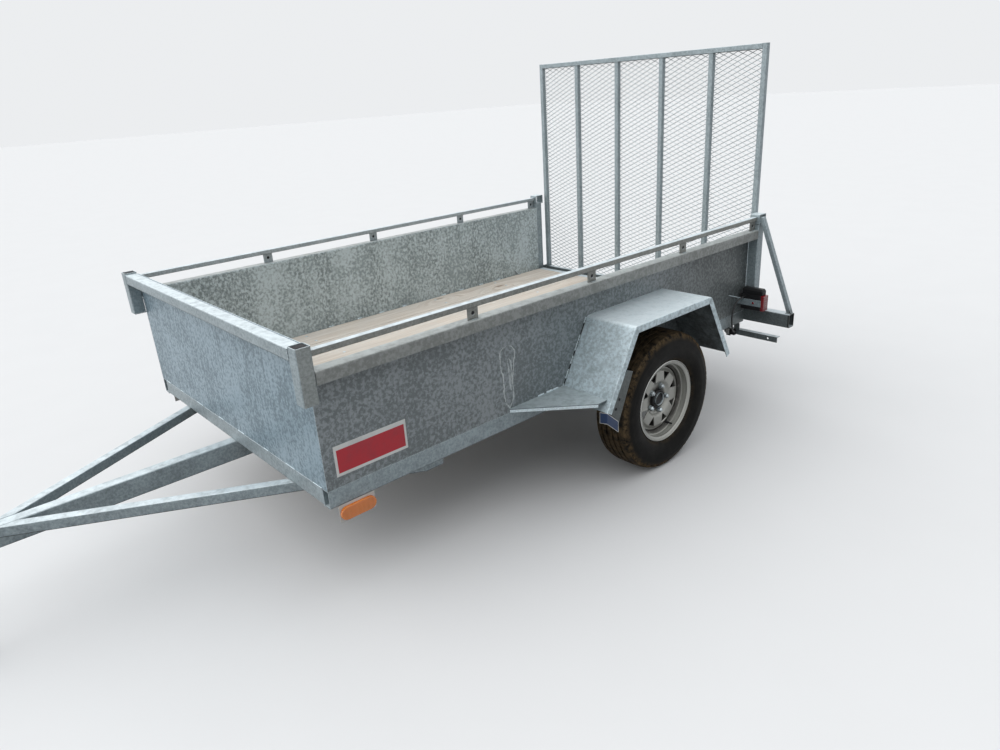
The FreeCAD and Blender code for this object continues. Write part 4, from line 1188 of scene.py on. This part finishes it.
class TRAILER_OT_leads(bpy.types.Operator):
    """The tail lamps' leads"""
    bl_idname = "trailer.leads"
    bl_label = "Leads"

    def execute(self, context):
        thick = context.scene.trailer_sizes.lead
        for side, way in (("left", 1), ("right", -1)):
            curve = bpy.data.curves.new(f"tail_lamp_lead_{side}", "CURVE")
            curve.dimensions = "3D"
            curve.bevel_depth = thick / 2
            curve.bevel_resolution = 4
            curve.use_fill_caps = True
            spline = curve.splines.new("NURBS")
            spline.points.add(len(LEAD_ROUTE) - 1)
            for point, (x, y, z) in zip(spline.points, LEAD_ROUTE):
                point.co = (way * x, y, z, 1)
            spline.order_u = 3
            spline.use_endpoint_u = True
            spline.resolution_u = 12
            curve.materials.append(material("cable"))
            lead = bpy.data.objects.new(curve.name, curve)
            context.scene.collection.objects.link(lead)
            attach(lead, "chassis")
            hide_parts("lamp_leads")
        return {"FINISHED"}


class TRAILER_OT_fender_straps(bpy.types.Operator):
    """Flat straps inside the fenders' front edge, each with two bolts"""
    bl_idname = "trailer.fender_straps"
    bl_label = "Fender straps"

    def execute(self, context):
        inner, thick = 0.9895, SHEET
        outline = ((0.590, 0.556), (0.622, 0.543), (0.536, 0.352), (0.512, 0.362), (0.480, 0.424))
        strap = chain([(inner, y, z) for y, z in outline], closed=True)
        bmesh.ops.contextual_create(strap, geom=strap.edges[:])
        made = bmesh.ops.extrude_face_region(strap, geom=strap.faces[:])["geom"]
        bmesh.ops.translate(strap, vec=(thick, 0, 0), verts=only(BMVert, made))
        bmesh.ops.recalc_face_normals(strap, faces=strap.faces)
        rounded(strap, corners_of(strap, 60), 0.0008)
        piece("fender_strap_plates", twin(strap), "tube")
        bolts = joined(*(dome((inner + thick, y, z), "X", 0.006, 0.003)
                         for y, z in ((0.520, 0.418), (0.540, 0.452))))
        piece("fender_strap_bolts", twin(bolts), "cap")
        return {"FINISHED"}


class TRAILER_OT_details(bpy.types.Operator):
    """Plugs in the rails' stubs, step edges, strap tails, the wall's hook rod and the leads' connectors"""
    bl_idname = "trailer.details"
    bl_label = "Details"

    def execute(self, context):
        plugs = joined(*(rod((0.7765, y, 0.8855), "X", 0.0067, 0.002, 12) for y in STUBS))
        piece("stub_plugs", twin(plugs), "cap")
        low, high = solids("fender_steps")[-1]
        tip = min(co.y for co in points_where("fender_steps", 0, high.x))
        edge = pulled([(low.x + 0.002, low.y + 0.002, low.z), (high.x - 0.001, tip, low.z)], (0, 0, -0.011),
                      (-1, 1, 0))
        thickened(edge, SHEET)
        rounded(edge, corners_of(edge, 60), 0.0006)
        piece("step_edges", twin(edge), "weld")
        tail = stick((0.7512, 1.698, 0.559), (0.7665, 1.7875, 0.529), 0.0022)
        piece("lamp_strap_tails", twin(tail), "weld")
        bend = (-0.738, 1.655, 0.472)
        hook = joined(stick((-0.745, 1.633, 0.500), bend, 0.004), stick(bend, (-0.741, 1.681, 0.4692), 0.004))
        piece("wall_hook_rod", hook, "plated")
        piece("lead_connectors", twin(block((0.686, 1.794, 0.322), (0.709, 1.812, 0.345), 0.003)), "marker")
        boots = joined(block((0.707, 1.794, 0.320), (0.740, 1.8145, 0.350), 0.005),
                       stick((0.690, 1.800, 0.318), (0.712, 1.805, 0.316), 0.0045))
        piece("lead_connector_boots", twin(boots), "lamp")
        return {"FINISHED"}


# weld dabs along Y on the left: at the step, their middle, length and share of a bead's radius
STEP_DABS = ((0.3585, 0.027, 1.2), (0.405, 0.026, 1.6), (0.440, 0.024, 1.3))
# and at the foot of the wall, their middle and share
FOOT_DABS = ((0.288, 1.3), (0.466, 1.8), (0.606, 1.5), (0.763, 1.8), (1.050, 1.4), (1.189, 1.9), (1.343, 1.5),
             (1.493, 1.8))
# dabs up the fender's front edge: share of its height, and length
EDGE_DABS = ((0.10, 0.022), (0.24, 0.034), (0.42, 0.030), (0.58, 0.034), (0.70, 0.022), (0.92, 0.02))
# dabs under the front panel: start along X, and length
SEAM_DABS = ((-0.70, 0.05), (-0.52, 0.03), (-0.33, 0.06), (-0.10, 0.04), (0.08, 0.05), (0.30, 0.03),
             (0.47, 0.06), (0.66, 0.05))


class TRAILER_OT_welds(bpy.types.Operator):
    """Weld beads and dabs where the tubes and sheets meet"""
    bl_idname = "trailer.welds"
    bl_label = "Welds"

    def execute(self, context):
        radius = context.scene.trailer_sizes.weld

        def run(axis, length, share, *start):
            return bead(start, Vector(start) + AXES[axis] * length, radius * share)

        rail_low, rail_high = solids("side_rails")[-1]
        chassis = [rod((rail_high.x - 0.0004, rail_low.y + 0.004, rail_high.z), "Y", 0.0010,
                       rail_high.y - rail_low.y - 0.008, 8)]
        chassis += [run("Y", 0.05, 0.7, rail_high.x - 0.001, y, rail_high.z)
                    for y in (-0.40, 0.05, 0.62, 1.20, 1.72)]
        chassis += [run("Y", high.y - low.y, 1, high.x, low.y, z)
                    for low, high in solids("cross_members") for z in (low.z, high.z)]
        low, high = solids("front_posts")[-1]
        chassis += [run("Y", high.y - low.y - 0.004, 1, low.x, low.y + 0.004, low.z),
                    run("Z", 0.033, 0.8, low.x, low.y, high.z - 0.041),
                    run("X", high.x - low.x - 0.008, 0.9, low.x + 0.004, high.y + 0.001, 0.822),
                    run("X", 0.022, 0.9, 0.764, high.y + 0.0015, 0.909),
                    run("X", 0.022, 0.7, 0.764, high.y + 0.0015, 0.925)]
        low, high = solids("rear_posts")[-1]
        chassis.append(run("X", high.x - low.x, 0.8, low.x, low.y, rail_high.z + 0.014))
        bright = [run("Z", 0.398, 0.7, low.x + 0.0008, low.y - 0.001, 0.462)]
        low, high = solids("rear_braces")[-1]
        chassis.append(run("X", 0.020, 0.9, high.x - 0.026, low.y, 0.4655))
        chassis += [run("Y", 0.020, 0.7, x, y - 0.010, 0.8645) for y in STUBS for x in (0.764, 0.786)]
        low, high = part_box("fender_left")
        level = [co.y for co in points_where("fender_left", 2, high.z)]
        chassis += [run("Y", 0.05, 0.9, low.x, y, high.z)
                    for y in (min(level) + 0.03, (min(level) + max(level)) / 2, max(level) - 0.08)]
        foot, head = Vector((low.x, low.y, low.z)), Vector((low.x, min(level), high.z))
        beside = Vector((0.0014, -0.0026, 0))
        # painted shadow: a black rod along the fender's front joint stands in for the shade in the gap
        gap_shadow_rod = stick(foot.lerp(head, 0.02) + beside, foot.lerp(head, 0.97) + beside, 0.0022)
        piece("fender_joint_gaps", twin(gap_shadow_rod), "cap")
        for share, long in EDGE_DABS:
            start = foot.lerp(head, share) + Vector((0.001, -0.0045, 0))
            bright.append(bead(start, start + (head - foot).normalized() * long, radius * 0.95))
        bright += [run("Y", long, fat, low.x + 0.001, y - long / 2, 0.4655) for y, long, fat in STEP_DABS]
        bright += [run("Y", 0.020, fat, 0.7450, y - 0.010, 0.4700) for y, fat in FOOT_DABS]
        low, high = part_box("front_panel")
        seams = [run("X", long, 0.8, x, low.y - 0.0005, low.z + 0.001) for x, long in SEAM_DABS]
        ramp = [run("X", high.x - low.x - 0.004, 0.55, low.x + 0.002, y, z)
                for low, high in solids("gate_ribs")
                for z in (low.z, high.z) for y in (low.y, high.y - 0.001)]
        piece("weld_beads", twin(joined(*chassis)), "tube")
        piece("bright_weld_dabs", twin(joined(*bright)), "weld")
        piece("front_seam_beads", joined(*seams), "weld")
        piece("ramp_weld_beads", joined(*ramp), "tube", body="gate")
        return {"FINISHED"}


class TRAILER_OT_labels(bpy.types.Operator):
    """The blank label on the side, and the blank tag at the foot of the left fender's strap"""
    bl_idname = "trailer.labels"
    bl_label = "Labels"

    def execute(self, context):
        piece("side_label", block((0.750, -0.546, 0.484), (0.7504, -0.274, 0.590), 0.0001, 1), "label")
        for name, finish, inset, out in (("fender_tag_border", "marker", 0.0, 0.0),
                                         ("fender_tag", "tag", 0.0028, 0.0005)):
            line = [(0.956 + inset, 0.4662 - out, 0.414 - inset),
                    (0.9938 + out, 0.4662 - out, 0.4205 - inset),
                    (0.9938 + out, 0.5330 - inset, 0.3620 - inset * 0.1)]
            tag = pulled(line, (0, 0, 2 * inset - 0.047), (1, -1, 0), 0.003, 3)
            piece(name, thickened(tag, 0.0006), finish)
        return {"FINISHED"}


class TRAILER_OT_stage(bpy.types.Operator):
    """Floor, surroundings, lamps and camera"""
    bl_idname = "trailer.stage"
    bl_label = "Stage"

    def execute(self, context):
        scene = context.scene
        scene.view_settings.view_transform = "Standard"
        floor = bmesh.new()
        bmesh.ops.create_grid(floor, x_segments=1, y_segments=1, size=60)
        mesh = bpy.data.meshes.new("studio_floor")
        floor.to_mesh(mesh)
        floor.free()
        ground = bpy.data.objects.new("studio_floor", mesh)
        scene.collection.objects.link(ground)
        mesh.materials.append(self.floor())
        self.world(scene)
        self.lamps(scene)
        self.camera(scene)
        return {"FINISHED"}

    @staticmethod
    def seen(tree):
        """One for rays that see or mirror the surroundings, and none for those that light the trailer."""
        rays = put(tree, "LightPath").outputs
        mirrors = Field(tree, rays["Is Glossy Ray"]).most(rays["Is Transmission Ray"])
        return Field(tree, rays["Is Camera Ray"]).most(mirrors)

    def floor(self):
        """A matt floor: pale where it is seen or mirrored, and greyer for the light that it throws back."""
        coat = Coat("Studio floor")
        speck = coat.place.cloud(3.0, 2.0).rise(0.3, 0.7, -0.004, 0.004)
        tone = self.seen(coat.tree) * 0.50 + 0.24 + speck
        coat.set(Base_Color=tone.node("CombineColor", {0: tone, 1: tone, 2: tone}), Roughness=1.0,
                 Specular_IOR_Level=0.0)
        return coat.made

    def world(self, scene):
        """A soft grey sky for light, and a plain pale one for what is seen or mirrored."""
        scene.world = bpy.data.worlds.new("Studio")
        scene.world.use_nodes = True
        tree = scene.world.node_tree
        tree.nodes.clear()
        lit = put(tree, "Background", {"Color": (0.84, 0.92, 1.0), "Strength": 0.30})
        pale = put(tree, "Background", {"Color": (0.838, 0.853, 0.868), "Strength": 1.0})
        mix = put(tree, "MixShader", {0: self.seen(tree), 1: lit.outputs[0], 2: pale.outputs[0]})
        put(tree, "OutputWorld", {"Surface": mix.outputs[0]}).is_active_output = True

    @staticmethod
    def lamps(scene):
        """Broad soft lamps: the sky, a front lamp and a weak side lamp."""
        for name, strength, angle, way in (("sky", 2.5, 110, (-0.25, -0.25, 1)),
                                           ("front", 1.2, 80, (-0.5, -1, 0.35)),
                                           ("side", 0.35, 80, (1, 0.1, 0.5))):
            data = bpy.data.lights.new(name, "SUN")
            data.energy = strength
            data.angle = math.radians(angle)
            lamp = bpy.data.objects.new(name, data)
            scene.collection.objects.link(lamp)
            lamp.rotation_euler = Vector(way).to_track_quat("Z", "Y").to_euler()

    @staticmethod
    def camera(scene):
        """The photograph's view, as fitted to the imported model."""
        data = bpy.data.cameras.new("camera")
        data.sensor_width = 36
        data.sensor_fit = "HORIZONTAL"
        data.lens = 25.791
        data.clip_end = 200
        camera = bpy.data.objects.new("camera", data)
        scene.collection.objects.link(camera)
        camera.location = (2.5905, -1.4433, 1.5756)
        camera.rotation_euler = (1.1936056, 0.0598916, 0.8323376)
        scene.camera = camera


class TRAILER_PT_panel(bpy.types.Panel):
    """Lists the trailer's operators in the sidebar"""
    bl_idname = "TRAILER_PT_panel"
    bl_label = "Utility trailer"
    bl_space_type = "VIEW_3D"
    bl_region_type = "UI"
    bl_category = "Trailer"

    def draw(self, context):
        for group in (context.scene.trailer_sizes, context.scene.trailer_colours):
            for key in group.__annotations__:
                self.layout.prop(group, key)
        for operator in OPERATORS:
            self.layout.operator(operator.bl_idname)


OPERATORS = (
    TRAILER_OT_stage, TRAILER_OT_leads, TRAILER_OT_tubes, TRAILER_OT_fittings, TRAILER_OT_sheets,
    TRAILER_OT_deck, TRAILER_OT_fenders, TRAILER_OT_ramp_mesh, TRAILER_OT_tyres, TRAILER_OT_rims,
    TRAILER_OT_hubs, TRAILER_OT_caps, TRAILER_OT_tail_lamps, TRAILER_OT_markers, TRAILER_OT_fender_straps,
    TRAILER_OT_details, TRAILER_OT_welds, TRAILER_OT_labels,
)
CLASSES = (TrailerSizes, TrailerColours, *OPERATORS, TRAILER_PT_panel)


def register():
    for cls in CLASSES:
        bpy.utils.register_class(cls)
    bpy.types.Scene.trailer_sizes = PointerProperty(type=TrailerSizes)
    bpy.types.Scene.trailer_colours = PointerProperty(type=TrailerColours)


def unregister():
    del bpy.types.Scene.trailer_colours
    del bpy.types.Scene.trailer_sizes
    for cls in reversed(CLASSES):
        bpy.utils.unregister_class(cls)


def main():
    register()
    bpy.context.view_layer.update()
    for operator in OPERATORS:
        getattr(bpy.ops.trailer, operator.bl_idname.split(".")[1])()
    bpy.context.view_layer.update()


if __name__ == "__main__":
    main()
